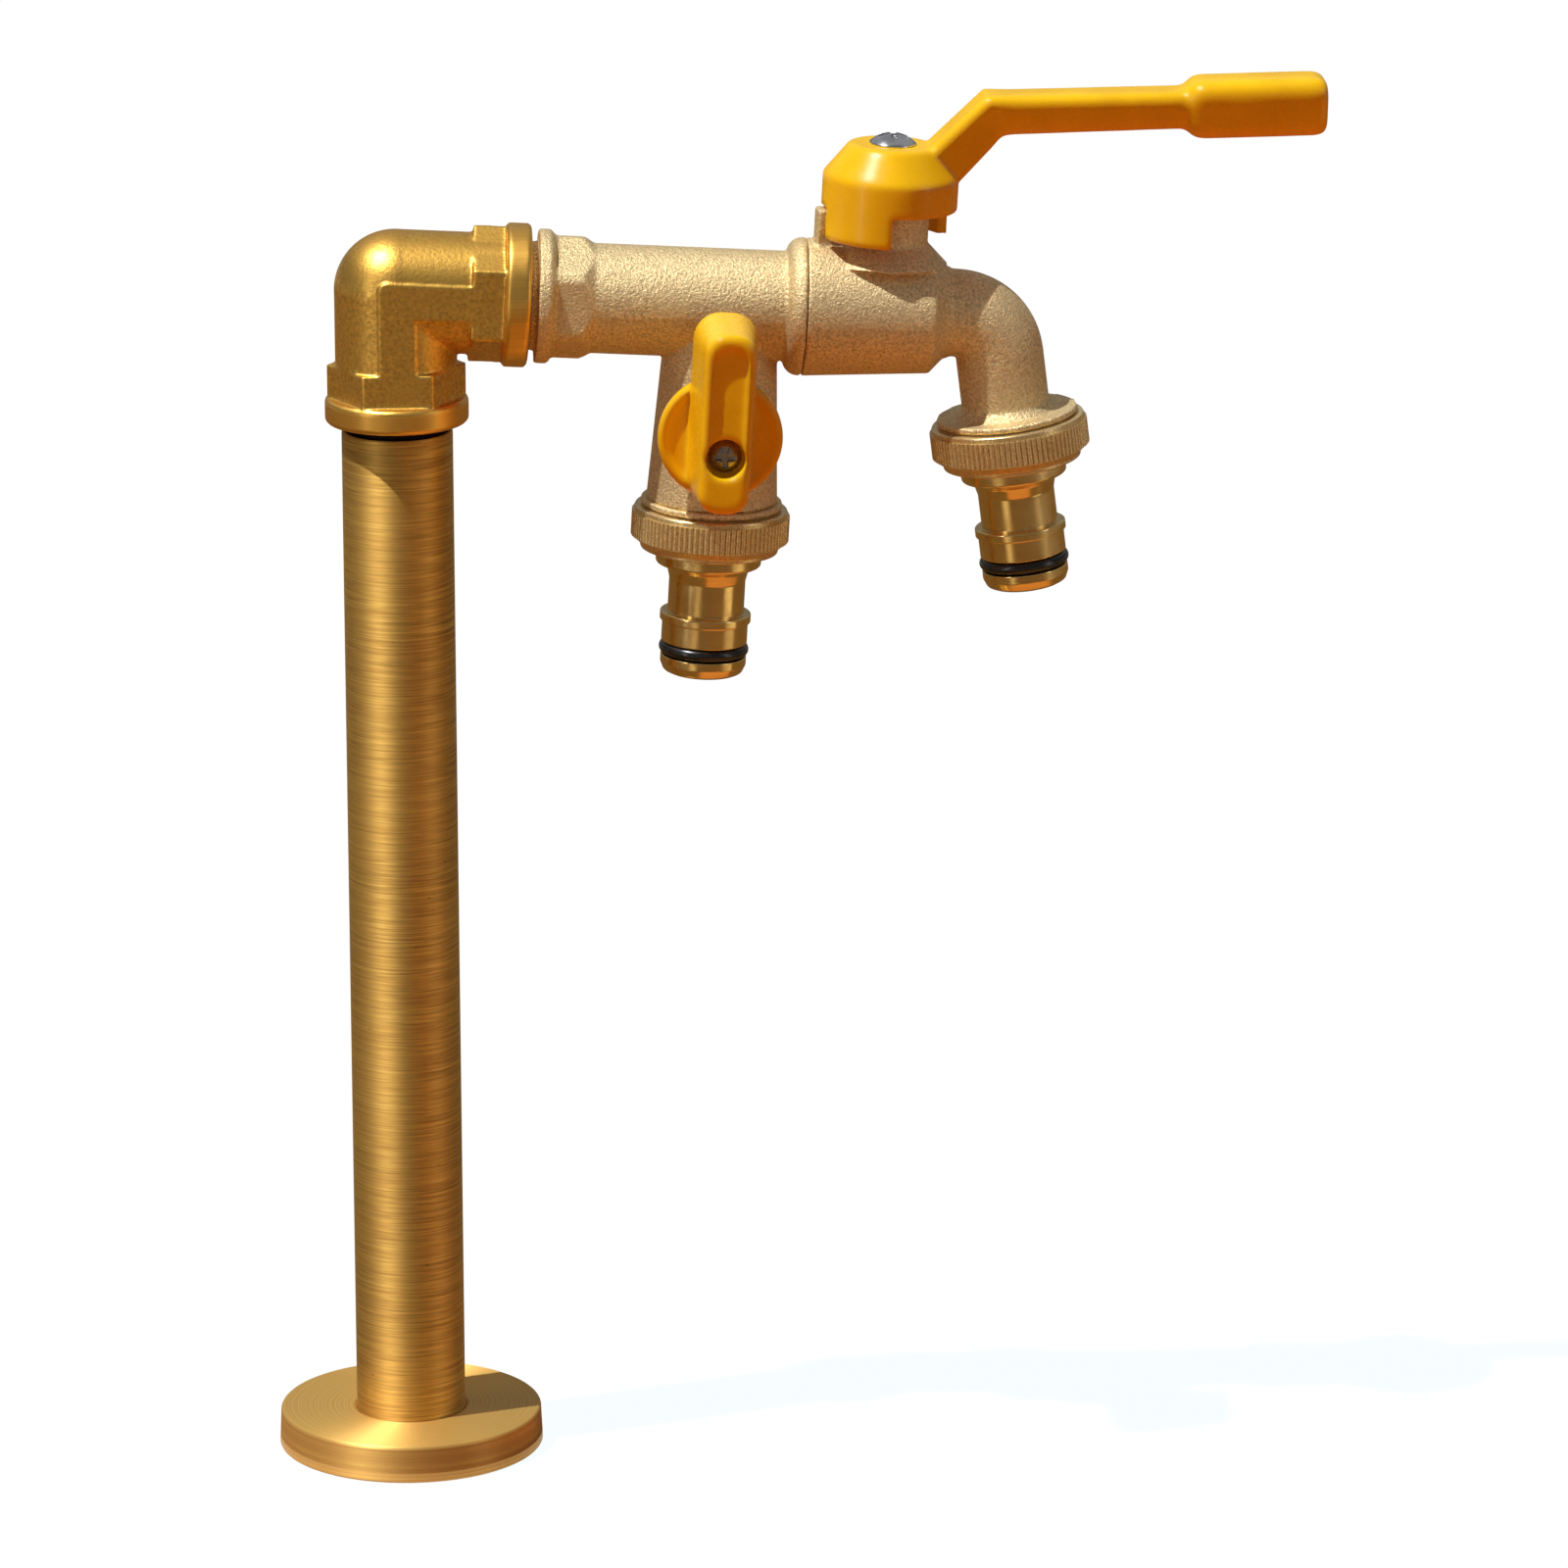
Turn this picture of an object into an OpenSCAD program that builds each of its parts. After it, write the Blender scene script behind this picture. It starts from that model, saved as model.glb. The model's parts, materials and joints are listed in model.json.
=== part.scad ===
// Garden standpipe: a riser on a foot flange, an elbow, and a brass tap with two
// quarter-turn ball valves, one to the spout and one to a branch, each with a hose tail.
// The origin is the centre of the foot's underside, on the riser's axis. +Z is up,
// +X runs along the tap towards its spout, -Y faces the user.

/* [Foot] */
// Diameter of the foot flange at the ground
foot_d = 53.5; // [46:0.5:80]
// Thickness of the foot flange
foot_h = 7.6; // [6:0.2:14]

/* [Riser] */
// Outside diameter of the riser pipe
pipe_d = 22; // [21.6:0.2:25]
// Bore of the riser pipe
pipe_bore = 13; // [10:0.5:14]
// Height of the elbow's centre above the ground
riser_h = 239.4; // [120:0.1:900]
// Major diameter of the supply thread in the riser's lower end (G 3/8)
supply_d = 16.66; // [14.6:0.02:17.4]
// Depth of the supply thread
supply_depth = 12; // [8:0.5:20]

/* [Elbow] */
// Length of each elbow leg, from the crossing of its axes to its end face
elbow_leg = 26.3; // [25.5:0.1:32]
// Diameter of the elbow's round body
elbow_tube_d = 24.1; // [23.6:0.1:27]
// Diameter of the ring round each mouth of the elbow
elbow_ring_d = 28.4; // [27:0.1:32]
// Width of each ring
elbow_ring_w = 5; // [3:0.1:5.6]
// Distance across the flats of the elbow's spanner hexagons
elbow_hex_af = 23.8; // [22.6:0.1:25]
// Width of each spanner hexagon
elbow_hex_w = 6.5; // [4:0.1:7]
// Angle by which the tap's axis falls below level
elbow_fall = 3.3; // [0:0.1:6]
// Major diameter of the elbow's threads (G 1/2)
joint_d = 20.96; // [19:0.02:21]
// Length of thread that enters the elbow
joint_len = 13; // [8:0.5:14]

/* [Tap body] */
// Distance from the elbow's face to the branch's axis
branch_run = 38.2; // [35:0.1:39.5]
// Distance from the elbow's face to the lever stem's axis
stem_run = 70; // [69.4:0.1:80]
// Diameter of the inlet collar beside the elbow
collar_d = 26.5; // [24:0.1:30]
// Distance across the flats of the tap's spanner hexagon
hex_af = 22; // [22:0.1:25]
// Diameter of the tap's barrel between the hexagon and the valve head
barrel_d = 21.7; // [20:0.1:21.8]
// Diameter of the valve head at the body joint
head_d = 27.3; // [26.4:0.1:30]
// Diameter of the valve head at its spout end
head_end_d = 24.4; // [23.4:0.1:26]
// Diameter of the neck that carries the lever
neck_d = 16; // [14:0.1:18]

/* [Spout] */
// Outside diameter of the spout tube
spout_d = 17.4; // [14:0.1:19]
// Distance from the lever stem's axis to the crossing of the tap's and outlet's axes
spout_run = 22.2; // [21:0.1:30]
// Angle by which the outlet leans away from square
spout_lean = 10.2; // [0:0.1:15]
// Length of the outlet's axis from that crossing to the shoulder's underside
spout_drop = 21; // [18:0.1:40]

/* [Branch] */
// Diameter of the branch where its taper would reach the tap's axis
branch_top_d = 21.6; // [20:0.1:22.4]
// Diameter of the branch's lower end
branch_end_d = 26; // [25:0.1:27]
// Depth of the branch's valve below the tap's axis
branch_valve_drop = 23.6; // [23:0.1:30]
// Depth of the branch outlet's shoulder underside below the valve's axis
branch_outlet_drop = 17.2; // [15:0.1:24]

/* [Valves] */
// Diameter of the ball in the spout's valve
main_ball_d = 17; // [14:0.1:17.4]
// Bore of the ball in the spout's valve
main_port_d = 10; // [6:0.1:10.4]
// Diameter of the ball in the branch's valve
branch_ball_d = 16; // [14:0.1:16.2]
// Bore of the ball in the branch's valve
branch_port_d = 9.4; // [6:0.1:9.6]
// Diameter of the lever's stem
main_stem_d = 8; // [7:0.1:8.4]
// Diameter of the knob's stem
branch_stem_d = 6.5; // [6:0.1:7.2]

/* [Lever] */
// Reach of the lever from its stem's axis
lever_reach = 84.9; // [70:0.1:120]
// Width of the lever's arm
arm_w = 11; // [9:0.1:13]
// Thickness of the lever's arm
arm_t = 7.8; // [5:0.1:9]
// Length of the thick grip at the arm's end
grip_len = 26; // [18:0.1:32]
// Width of the grip
grip_w = 13; // [11:0.1:18]
// Thickness of the grip
grip_t = 12; // [8:0.1:14]
// Diameter of the lever's hub
hub_d = 26.8; // [25.6:0.1:29]
// Quarter turn of both valves
quarter = 90; // [80:1:90]

/* [Knob] */
// Diameter of the knob's round plate
knob_d = 24.6; // [22:0.1:25.6]
// Reach of the knob's finger bar above its stem's axis
bar_reach = 25.3; // [20:0.1:29.5]
// Reach of the finger bar below its stem's axis
bar_tail = 12.6; // [8:0.1:13]
// Width of the finger bar where it leaves the plate
bar_w = 12.8; // [11.6:0.1:14]
// Height of the finger bar above the plate's rim
bar_h = 18.3; // [12:0.1:20]

/* [Hose couplings] */
// Outside diameter of the knurled coupling nuts
nut_d = 31.4; // [31:0.1:35]
// Height of the coupling nuts
nut_h = 8.6; // [8:0.1:12]
// Diameter of the shoulder plate above each nut
shoulder_d = 28; // [27:0.1:29.4]
// Major diameter of the outlet threads (G 3/4)
outlet_d = 26.44; // [25.6:0.02:26.6]
// Diameter of the hose tail's plug body
tail_d = 17.1; // [16:0.1:18]
// Diameter of the waist where a hose connector's claws grip
waist_d = 15.2; // [13.6:0.1:15.4]
// Length of the hose tail below the shoulder
tail_len = 34.3; // [32:0.1:40]
// Bore of the hose tail
tail_bore = 10.4; // [8:0.1:11]

/* [Hidden] */
$fn = 96;
round_fn = 32;

// Overrun of every cut past the surface it opens
cut = 1;
// Clearance between mating threads, bores and shanks, on the radius
fit = 0.06;
// Clearance between flat ends that seat but do not carry each other
rest_gap = 0.2;
// Small bevel on turned edges, and the steps of a rounded one
bevel = 0.5;
round_steps = 6;
// Where a straight tube meets a ball corner or a bend: how far the straight one
// stands proud on its radius, and how far it laps past the meeting plane
corner_step = 0.03;
corner_lap = 0.05;

// Foot: draft and the chamfered hole round the riser
foot_draft = 0.35;
foot_edge = 0.5;
foot_hole_chamfer = 0.6;

// Riser's turned top: the thread, its run-out groove and the chamfered shoulder
joint_gap = 1.8;
runout_depth = 1.3;
pipe_chamfer = 0.5;

// Elbow's waterway, the bevel on its rings and the raised pad along both legs
elbow_pad_w = 7.2;
elbow_pad_round = 1.6;
elbow_port_d = 16;
elbow_edge = 0.6;

// Derived places along the tap
branch_x = elbow_leg + branch_run;
stem_x = elbow_leg + stem_run;
spout_x = stem_x + spout_run;
joint_r = joint_d / 2;
barrel_r = barrel_d / 2;
head_r = head_d / 2;
head_end_r = head_end_d / 2;

// Inlet: shoulder, collar and hexagon, as widths along the tap's axis, and how far the
// hexagon's turned corners stand over its flats
inlet_shoulder_w = 1.5;
inlet_shoulder_r = joint_r + bevel / 2;
collar_w = 3.1;
collar_bevel = 0.8;
hex_w = 8.2;
hex_cone_w = 2.4;
hex_land = 0.25;
hex_corner_over = 1.2;
hex_corner_r = hex_af / 2 + hex_corner_over;
inlet_port_d = 14;
tee_port_d = 11;
tee_cone_w = 5;

// Valve seats: shares of the ball's radius where a seat's faces lie
seat_in_share = 0.54;
seat_out_share = 0.965;
seat_wall = 0.9;
seat_play = 0.1;
ball_fit = 0.05;
port_lead = 0.2;

main_ball_r = main_ball_d / 2;
main_seat_r = main_ball_r + seat_wall;
main_room = main_ball_r * seat_out_share + seat_play;
branch_ball_r = branch_ball_d / 2;
branch_seat_r = branch_ball_r + seat_wall;
branch_room = branch_ball_r * seat_out_share + seat_play;

// Screwed joint between the two halves of the body, and the branch's screwed insert
screw_wall = 1.2;
body_thread_len = 7.6;
body_thread_r = main_seat_r + screw_wall;
insert_thread_r = branch_seat_r + screw_wall;
joint_x = stem_x - main_room - body_thread_len;
rear_flange_w = 3.6;
rear_flange_round = 3;
seam_gap = 0.1;
seal_w = 1.4;
seal_t = 1.3;

// Valve head's spout end
head_tail = 9.4;
head_cone_w = 2.5;
throat_r = 9.4;
throat_w = 1;
throat_step = 0.3;
spout_r = spout_d / 2;
bend_slack = 0.7;
bend_r = spout_r + bend_slack;
bend_x = spout_x - bend_r * tan((90 - spout_lean) / 2);
spout_flare = 1.6;

// Stems: each climbs from a tang in the ball, between the seats, through a collar
// that clears them, a washer and seals
tang_w = 4;
tang_depth = 2.4;
tang_lift = 0.1;
tang_play = 0.2;
collar_over = seat_wall + seat_play;
stem_collar_t = 1.4;
stem_collar_w = 1.4;
thrust_t = 0.9;
groove_w = 1.4;
groove_place_shares = [0.3, 0.7];
oring_t = 1.1;
stem_bore_fit = 0.06;
tapped_depth = 9;

main_collar_z = main_ball_r + collar_over;
main_pocket_z = main_collar_z + stem_collar_t + thrust_t;
branch_collar_z = branch_ball_r + collar_over;
branch_pocket_z = branch_collar_z + stem_collar_t + thrust_t;

// Lever: levels above the tap's axis, and the gap under both handles
neck_top = 24.7;
neck_foot_z = 9.8;
neck_flare = 4.2;
turn_gap = 0.3;
hub_web_z = neck_top + turn_gap;
hub_top_z = 33.4;
hub_rim_z = 27.9;
hub_skirt_z = 20.8;
hub_tab_z = 14.7;
hub_top_r = 8.1;
hub_wall = 2.3;
hub_edge = 0.7;
hub_rim_share = 0.3;
hub_top_share = 0.4;
hub_plate_t = 1.2;
lever_square = 6;
lever_screw_d = 4;
lever_head_d = 9.8;
lever_head_h = 2.2;
recess_w = 1.1;
recess_depth = 1.2;
recess_reach_share = 0.6;

// Lever's stop lug on the head, and the two tabs of its hub that meet the lug
lug_from = 175;
lug_to = 196;
lug_in = 11.2;
lug_out = 14.5;
lug_below = 0.6;
lug_top = hub_skirt_z - lug_below;
stop_play = 1;
tab_front_span = 72;
tab_rear_span = 60;

// Lever's arm: the rising foot, the knee, the long arm and the grip, as a loft
arm_foot_x = 9;
arm_foot_z = 28.8;
arm_foot_t = 9.2;
arm_rise = 48;
arm_pitch = 4.1;
knee_x = 19.4;
knee_t = 8.2;
arm_corner = 1.6;
grip_corner = 2.8;
section_under = 1.2;
corner_steps = 3;
// Shares of the grip's own section and end radius at its rounded ends
grip_end_place_shares = [0, 0.5, 0.85, 1];
grip_end_size_shares = [1, 0.95, 0.86, 0.72];
grip_start_place_shares = [0, 0.45, 1];
grip_start_size_shares = [0.68, 0.86, 1];
grip_end_round = 2.4;
grip_start_round = 2.6;
grip_width_share = 0.7;
grip_slope_share = 0.7;
section_round_share = 0.48;

// Knob: levels in front of the branch's axis
knob_back = branch_end_d / 2 + turn_gap;
knob_rim_t = 2.9;
knob_dish = 0.7;
knob_dish_land = 1.1;
knob_edge = 0.5;
knob_rim = knob_back + knob_rim_t;
knob_top = knob_rim + bar_h;
boss_r = 7.4;
boss_z = knob_back + 1;
boss_room = boss_z + rest_gap;
boss_side_gap = 0.2;
knob_lug_h = 1.5;
knob_lug_step = 0.3;
knob_lug_root = knob_back - 2 * knob_lug_h;
knob_lug_from = 260;
knob_lug_to = 280;
bar_draft = 1.5;
bar_end_rise = 1.1;
bar_shoulder_share = 0.8;
bar_nose_share = 0.3;
bar_round = 1.3;
bar_channel_share = 0.54;
bar_channel_depth = 0.9;
bar_corner_share = 0.42;
knob_square = 5.2;
knob_plate_t = 1.7;
knob_seat_depth = 4;
knob_screw_d = 3.5;
knob_head_d = 7;
knob_head_h = 2.3;
knob_counterbore_d = 7.8;
knob_shank_len = 8;

// Couplings: levels along an outlet's axis, from the shoulder's underside outwards
shoulder_t = 1.2;
nut_gap = 0.35;
outlet_thread_len = 4.6;
washer_t = 1.6;
washer_r = 12.4;
washer_bore_r = 7;
tail_flange_t = 1.2;
tail_flange_r = 12.6;
tail_collar_r = 10.5;
tail_collar_over = 3.1;
lip_fit = 0.1;
nut_top_bevel = 1.4;
nut_bottom_bevel = 1.3;
nut_bevel_in = 0.55;
nut_bottom_step = 0.7;
knurl_count = 90;
knurl_depth = 0.35;
knurl_base = 0.15;
outlet_r = outlet_d / 2;
nut_r = nut_d / 2;
nut_end = nut_gap + nut_h;
tail_flange_at = outlet_thread_len + washer_t;
tail_lip_at = tail_flange_at + tail_flange_t;
tail_collar_end = nut_end + tail_collar_over;
tail_r = tail_d / 2;
waist_r = waist_d / 2;
waist_flare = 3;
flare_top_share = 0.4;
flare_mid_share = 0.12;
bead_over = 0.5;
bead_w = 1.8;
plug_w = 4.3;
oring_groove_w = 2.7;
tail_oring_t = 2.5;
tail_oring_proud = 0.4;
tip_land = 1.7;
tip_len = 3.7;
tip_r_share = 0.8;
tip_steps = 5;
plug_from = tail_len - tip_len - oring_groove_w - plug_w;
groove_from = plug_from + plug_w;
tip_from = groove_from + oring_groove_w;

brass_cast = "#d8b070";
brass_turned = "#c8963e";
brass_elbow = "#c99a45";
lacquer = "#f0a818";
steel = "#b8b8b8";
rubber = "#1a1a1a";
ptfe = "#f2f2ee";
fibre = "#a03a2c";

// Placing: the tap's own frame has its +X along the tap, from the elbow's centre
module at_tap() {
    translate([0, 0, riser_h]) rotate([0, elbow_fall, 0]) children();
}

// Turns a shape drawn about Z so that its +Z runs along the tap
module along_tap(x) {
    translate([x, 0, 0]) rotate([0, 90, 0]) children();
}

module at_main_stem() {
    at_tap() translate([stem_x, 0, 0]) children();
}

// The branch valve's frame: origin at its ball, still parallel to the tap's frame
module at_branch() {
    at_tap() translate([branch_x, 0, -branch_valve_drop]) children();
}

// The knob's frame: +Z towards the user, +Y up
module at_knob() {
    at_branch() rotate([90, 0, 0]) children();
}

// Outlet frames: origin at the shoulder's underside, +Z outwards
module at_branch_outlet() {
    at_branch() translate([0, 0, -branch_outlet_drop]) rotate([180, 0, 0]) children();
}

module spout_frame() {
    translate([spout_x, 0, 0]) rotate([0, -spout_lean, 0]) children();
}

module at_spout_outlet() {
    at_tap() spout_frame() translate([0, 0, -spout_drop]) rotate([180, 0, 0]) children();
}

function arc_points(centre, r, from, to, steps) =
    [for (i = [0 : steps])
        let (a = from + (to - from) * i / steps)
        [centre[0] + r * cos(a), centre[1] + r * sin(a)]];

// Ring about Z with square edges
module ring(r_out, r_in, from, to) {
    difference() {
        translate([0, 0, from]) cylinder(r = r_out, h = to - from);
        translate([0, 0, from - cut]) cylinder(r = r_in, h = to - from + 2 * cut);
    }
}

// Part of a ring about Z, between two angles
module ring_sector(r_out, r_in, from, to, angle_from, angle_to) {
    translate([0, 0, from])
        rotate([0, 0, angle_from])
            rotate_extrude(angle = angle_to - angle_from)
                translate([r_in, 0])
                    square([r_out - r_in, to - from]);
}

// Torus about Z: a rubber ring
module rubber_ring(r_mid, thick, z) {
    translate([0, 0, z])
        rotate_extrude()
            translate([r_mid, 0])
                circle(d = thick, $fn = round_fn);
}

// Ring with a bevel on both outer edges
module bevelled_ring(r, from, to, b) {
    rotate_extrude()
        polygon([[0, from], [r - b, from], [r, from + b], [r, to - b], [r - b, to], [0, to]]);
}

module base_flange() {
    r = foot_d / 2;
    r_top = r - foot_draft;
    r_hole = pipe_d / 2 + fit;
    color(brass_turned)
        rotate_extrude()
            polygon([
                [r_hole, 0],
                [r - foot_edge, 0],
                [r, foot_edge],
                [r_top, foot_h - foot_edge],
                [r_top - foot_edge, foot_h],
                [r_hole + foot_hole_chamfer, foot_h],
                [r_hole, foot_h - foot_hole_chamfer]
            ]);
}

module riser_pipe() {
    r = pipe_d / 2;
    r_thread = joint_r - fit;
    r_groove = r_thread - runout_depth;
    face = riser_h - elbow_leg;
    shoulder = face - joint_gap;
    top = face + joint_len - rest_gap;
    color(brass_turned)
        difference() {
            rotate_extrude()
                polygon([
                    [0, 0],
                    [r, 0],
                    [r, shoulder - pipe_chamfer],
                    [r - pipe_chamfer, shoulder],
                    [r_groove, shoulder],
                    [r_groove, face],
                    [r_thread, face + runout_depth],
                    [r_thread, top - bevel],
                    [r_thread - bevel, top],
                    [0, top]
                ]);
            translate([0, 0, -cut]) cylinder(d = pipe_bore, h = top + 2 * cut);
            translate([0, 0, -cut]) cylinder(d = supply_d, h = supply_depth + cut);
        }
}

// One elbow leg along +Z: the hexagon and the ring at its mouth
module elbow_leg_end() {
    ring_from = elbow_leg - elbow_ring_w;
    hex_from = ring_from - elbow_hex_w;
    translate([0, 0, hex_from])
        cylinder(d = elbow_hex_af / cos(30), h = elbow_hex_w, $fn = 6);
    bevelled_ring(elbow_ring_d / 2, ring_from, elbow_leg, elbow_edge);
}

// The threaded mouth and waterway of one leg along +Z
module elbow_leg_cut() {
    translate([0, 0, elbow_leg - joint_len]) cylinder(r = joint_r, h = joint_len + cut);
    cylinder(d = elbow_port_d, h = elbow_leg);
    rotate_extrude()
        polygon([
            [0, elbow_leg - bevel],
            [joint_r, elbow_leg - bevel],
            [joint_r + bevel, elbow_leg],
            [joint_r + bevel, elbow_leg + cut],
            [0, elbow_leg + cut]
        ]);
}

// The elbow's two legs: one points down the riser, one along the tap
module elbow_legs() {
    rotate([180, 0, 0]) children();
    rotate([0, 90 + elbow_fall, 0]) children();
}

// Flat pad seen from the user's side: an L whose legs end inside the hexagons
module elbow_pad_outline(half, end) {
    corner = half * (1 + sin(elbow_fall)) / cos(elbow_fall);
    polygon(concat([
        [half, -end],
        [-half, -end]],
        arc_points([-half + elbow_pad_round, corner - elbow_pad_round], elbow_pad_round,
            180, 90 - elbow_fall, round_steps), [
        [end * cos(elbow_fall) + half * sin(elbow_fall),
         half * cos(elbow_fall) - end * sin(elbow_fall)],
        [end * cos(elbow_fall) - half * sin(elbow_fall),
         -half * cos(elbow_fall) - end * sin(elbow_fall)],
        [half, -corner]
    ]));
}

module elbow() {
    hex_end = elbow_leg - elbow_ring_w;
    color(brass_elbow)
        translate([0, 0, riser_h])
            difference() {
                union() {
                    intersection() {
                        union() {
                            sphere(d = elbow_tube_d);
                            elbow_legs() cylinder(r = elbow_tube_d / 2 - corner_step, h = hex_end);
                        }
                        cube([4 * elbow_leg, elbow_hex_af, 4 * elbow_leg], center = true);
                    }
                    elbow_legs() elbow_leg_end();
                    rotate([90, 0, 0])
                        linear_extrude(elbow_hex_af, center = true)
                            elbow_pad_outline(elbow_pad_w / 2, hex_end - elbow_hex_w / 2);
                }
                sphere(r = elbow_port_d / 2 + corner_step);
                elbow_legs() elbow_leg_cut();
            }
}

// Outside of the rear body, turned about the tap's axis
module rear_outside() {
    collar_r = collar_d / 2;
    face = elbow_leg;
    collar_x = face + inlet_shoulder_w;
    hex_x = collar_x + collar_w;
    flange_x = joint_x - rear_flange_w;
    end_x = joint_x + body_thread_len;
    thread_r = joint_r - fit;
    start_x = face - joint_len + rest_gap;
    along_tap(0)
        rotate_extrude()
            polygon(concat([
                [0, start_x],
                [thread_r - bevel, start_x],
                [thread_r, start_x + bevel],
                [thread_r, face],
                [inlet_shoulder_r, face],
                [inlet_shoulder_r, collar_x],
                [collar_r, collar_x],
                [collar_r, hex_x - collar_bevel],
                [collar_r - collar_bevel, hex_x],
                [barrel_r, hex_x],
                [barrel_r, flange_x]],
                arc_points([head_r - rear_flange_round, flange_x + rear_flange_round],
                    rear_flange_round, -90, 0, round_steps), [
                [head_r, joint_x],
                [body_thread_r, joint_x],
                [body_thread_r, end_x - bevel],
                [body_thread_r - bevel, end_x],
                [0, end_x]
            ]));
    // Spanner hexagon, its corners up and down, turned down at its tap end
    intersection() {
        along_tap(hex_x) cylinder(d = hex_af / cos(30), h = hex_w, $fn = 6);
        along_tap(hex_x)
            rotate_extrude()
                polygon([
                    [0, 0],
                    [hex_corner_r, 0],
                    [hex_corner_r, hex_w - hex_cone_w],
                    [barrel_r - hex_land, hex_w],
                    [0, hex_w]
                ]);
    }
}

module tap_rear_body() {
    face = elbow_leg;
    hex_x = face + inlet_shoulder_w + collar_w;
    end_x = joint_x + body_thread_len;
    shoulder_z = -branch_valve_drop - branch_outlet_drop + shoulder_t;
    insert_z = -branch_valve_drop - branch_room;
    color(brass_cast)
        at_tap()
            difference() {
                union() {
                    rear_outside();
                    translate([branch_x, 0, shoulder_z])
                        cylinder(d1 = branch_end_d, d2 = branch_top_d, h = -shoulder_z);
                    translate([branch_x, 0, -branch_valve_drop])
                        rotate([90, 0, 0]) {
                            cylinder(r = boss_r, h = boss_z);
                            ring_sector(boss_r + knob_lug_h, boss_r - cut,
                                knob_lug_root, boss_z - knob_lug_step, knob_lug_from, knob_lug_to);
                        }
                }
                // Waterway along the tap: wide at the inlet, narrow past the branch
                along_tap(face - joint_len - cut)
                    cylinder(d = inlet_port_d, h = joint_len + inlet_shoulder_w + collar_w + cut);
                along_tap(hex_x)
                    cylinder(d1 = inlet_port_d, d2 = tee_port_d, h = tee_cone_w);
                along_tap(face)
                    cylinder(d = tee_port_d, h = end_x - face + cut);
                // Waterway down the branch, its valve room and the insert's thread
                translate([branch_x, 0, insert_z])
                    cylinder(d = branch_port_d + port_lead, h = -insert_z);
                translate([branch_x, 0, insert_z])
                    cylinder(r = branch_seat_r + seat_play, h = 2 * branch_room);
                translate([branch_x, 0, shoulder_z - cut])
                    cylinder(r = insert_thread_r + fit, h = insert_z - shoulder_z + cut);
                // Stem's bore and the pocket for its collar, towards the user
                translate([branch_x, 0, -branch_valve_drop])
                    rotate([90, 0, 0]) {
                        cylinder(r = branch_stem_d / 2 + stem_bore_fit, h = boss_z + cut);
                        cylinder(r = branch_stem_d / 2 + stem_collar_w + fit, h = branch_pocket_z);
                    }
            }
}

module body_joint_seal() {
    color(fibre)
        at_tap() along_tap(joint_x)
            ring(body_thread_r + seal_w, body_thread_r + fit, seam_gap, seal_t);
}

// Outside of the front body up to the bend, turned about the tap's axis
module front_outside() {
    start_x = joint_x + seam_gap;
    tail_x = stem_x + head_tail;
    throat_x = tail_x + head_cone_w;
    along_tap(0)
        rotate_extrude()
            polygon([
                [0, start_x],
                [head_r, start_x],
                [head_end_r, tail_x],
                [throat_r, throat_x],
                [throat_r - throat_step, throat_x],
                [throat_r - throat_step, throat_x + throat_w],
                [spout_r, throat_x + throat_w],
                [spout_r, bend_x + corner_lap],
                [0, bend_x + corner_lap]
            ]);
}

// Spout's bend and straight outlet, as a tube or, thinner, as its waterway
module spout_run_shape(r, past) {
    translate([bend_x, 0, -bend_r])
        rotate([90, 0, 0])
            rotate([0, 0, spout_lean])
                rotate_extrude(angle = 90 - spout_lean)
                    translate([bend_r, 0])
                        circle(r = r - corner_step);
    spout_frame()
        translate([0, 0, -spout_drop - past])
            cylinder(r = r, h = spout_drop + past - (spout_x - bend_x) + corner_lap);
}

// Shoulder plate and outlet thread, in an outlet's frame
module outlet_end() {
    r = outlet_r - fit;
    rotate_extrude()
        polygon([
            [0, -shoulder_t],
            [shoulder_d / 2, -shoulder_t],
            [shoulder_d / 2, 0],
            [r, 0],
            [r, outlet_thread_len - bevel],
            [r - bevel, outlet_thread_len],
            [0, outlet_thread_len]
        ]);
}

module tap_front_body() {
    start_x = joint_x + seam_gap;
    thread_x = joint_x + body_thread_len;
    color(brass_cast)
        at_tap()
            difference() {
                union() {
                    front_outside();
                    spout_run_shape(spout_r, 0);
                    spout_frame() translate([0, 0, -spout_drop]) rotate([180, 0, 0]) {
                        outlet_end();
                        // The tube flares into the shoulder plate
                        translate([0, 0, -shoulder_t - spout_flare])
                            cylinder(r1 = spout_r, r2 = spout_r + spout_flare, h = spout_flare);
                    }
                    translate([stem_x, 0, 0]) {
                        cylinder(d = neck_d, h = neck_top);
                        translate([0, 0, neck_foot_z])
                            cylinder(r1 = neck_d / 2 + neck_flare, r2 = neck_d / 2, h = neck_flare);
                        ring_sector(lug_out, lug_in, head_r / 2, lug_top, lug_from, lug_to);
                    }
                }
                along_tap(start_x - cut)
                    cylinder(r = body_thread_r + fit, h = thread_x - start_x + cut);
                along_tap(start_x - cut)
                    cylinder(r = body_thread_r + seal_w + fit, h = seal_t - seam_gap + cut);
                along_tap(stem_x - main_room)
                    cylinder(r = main_seat_r + seat_play, h = 2 * main_room);
                along_tap(stem_x)
                    cylinder(d = main_port_d + port_lead, h = bend_x - stem_x + corner_lap);
                spout_run_shape(main_port_d / 2 + port_lead / 2, cut + outlet_thread_len);
                translate([stem_x, 0, 0]) {
                    cylinder(r = main_stem_d / 2 + stem_bore_fit, h = neck_top + cut);
                    cylinder(r = main_stem_d / 2 + stem_collar_w + fit, h = main_pocket_z);
                }
            }
}

// Seat ring beside a ball: its dished face fits the ball, +Z points away from it
module ball_seat(ball_r, seat_r, port_d) {
    difference() {
        ring(seat_r, port_d / 2 + port_lead / 2, ball_r * seat_in_share, ball_r * seat_out_share);
        sphere(r = ball_r + ball_fit);
    }
}

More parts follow.
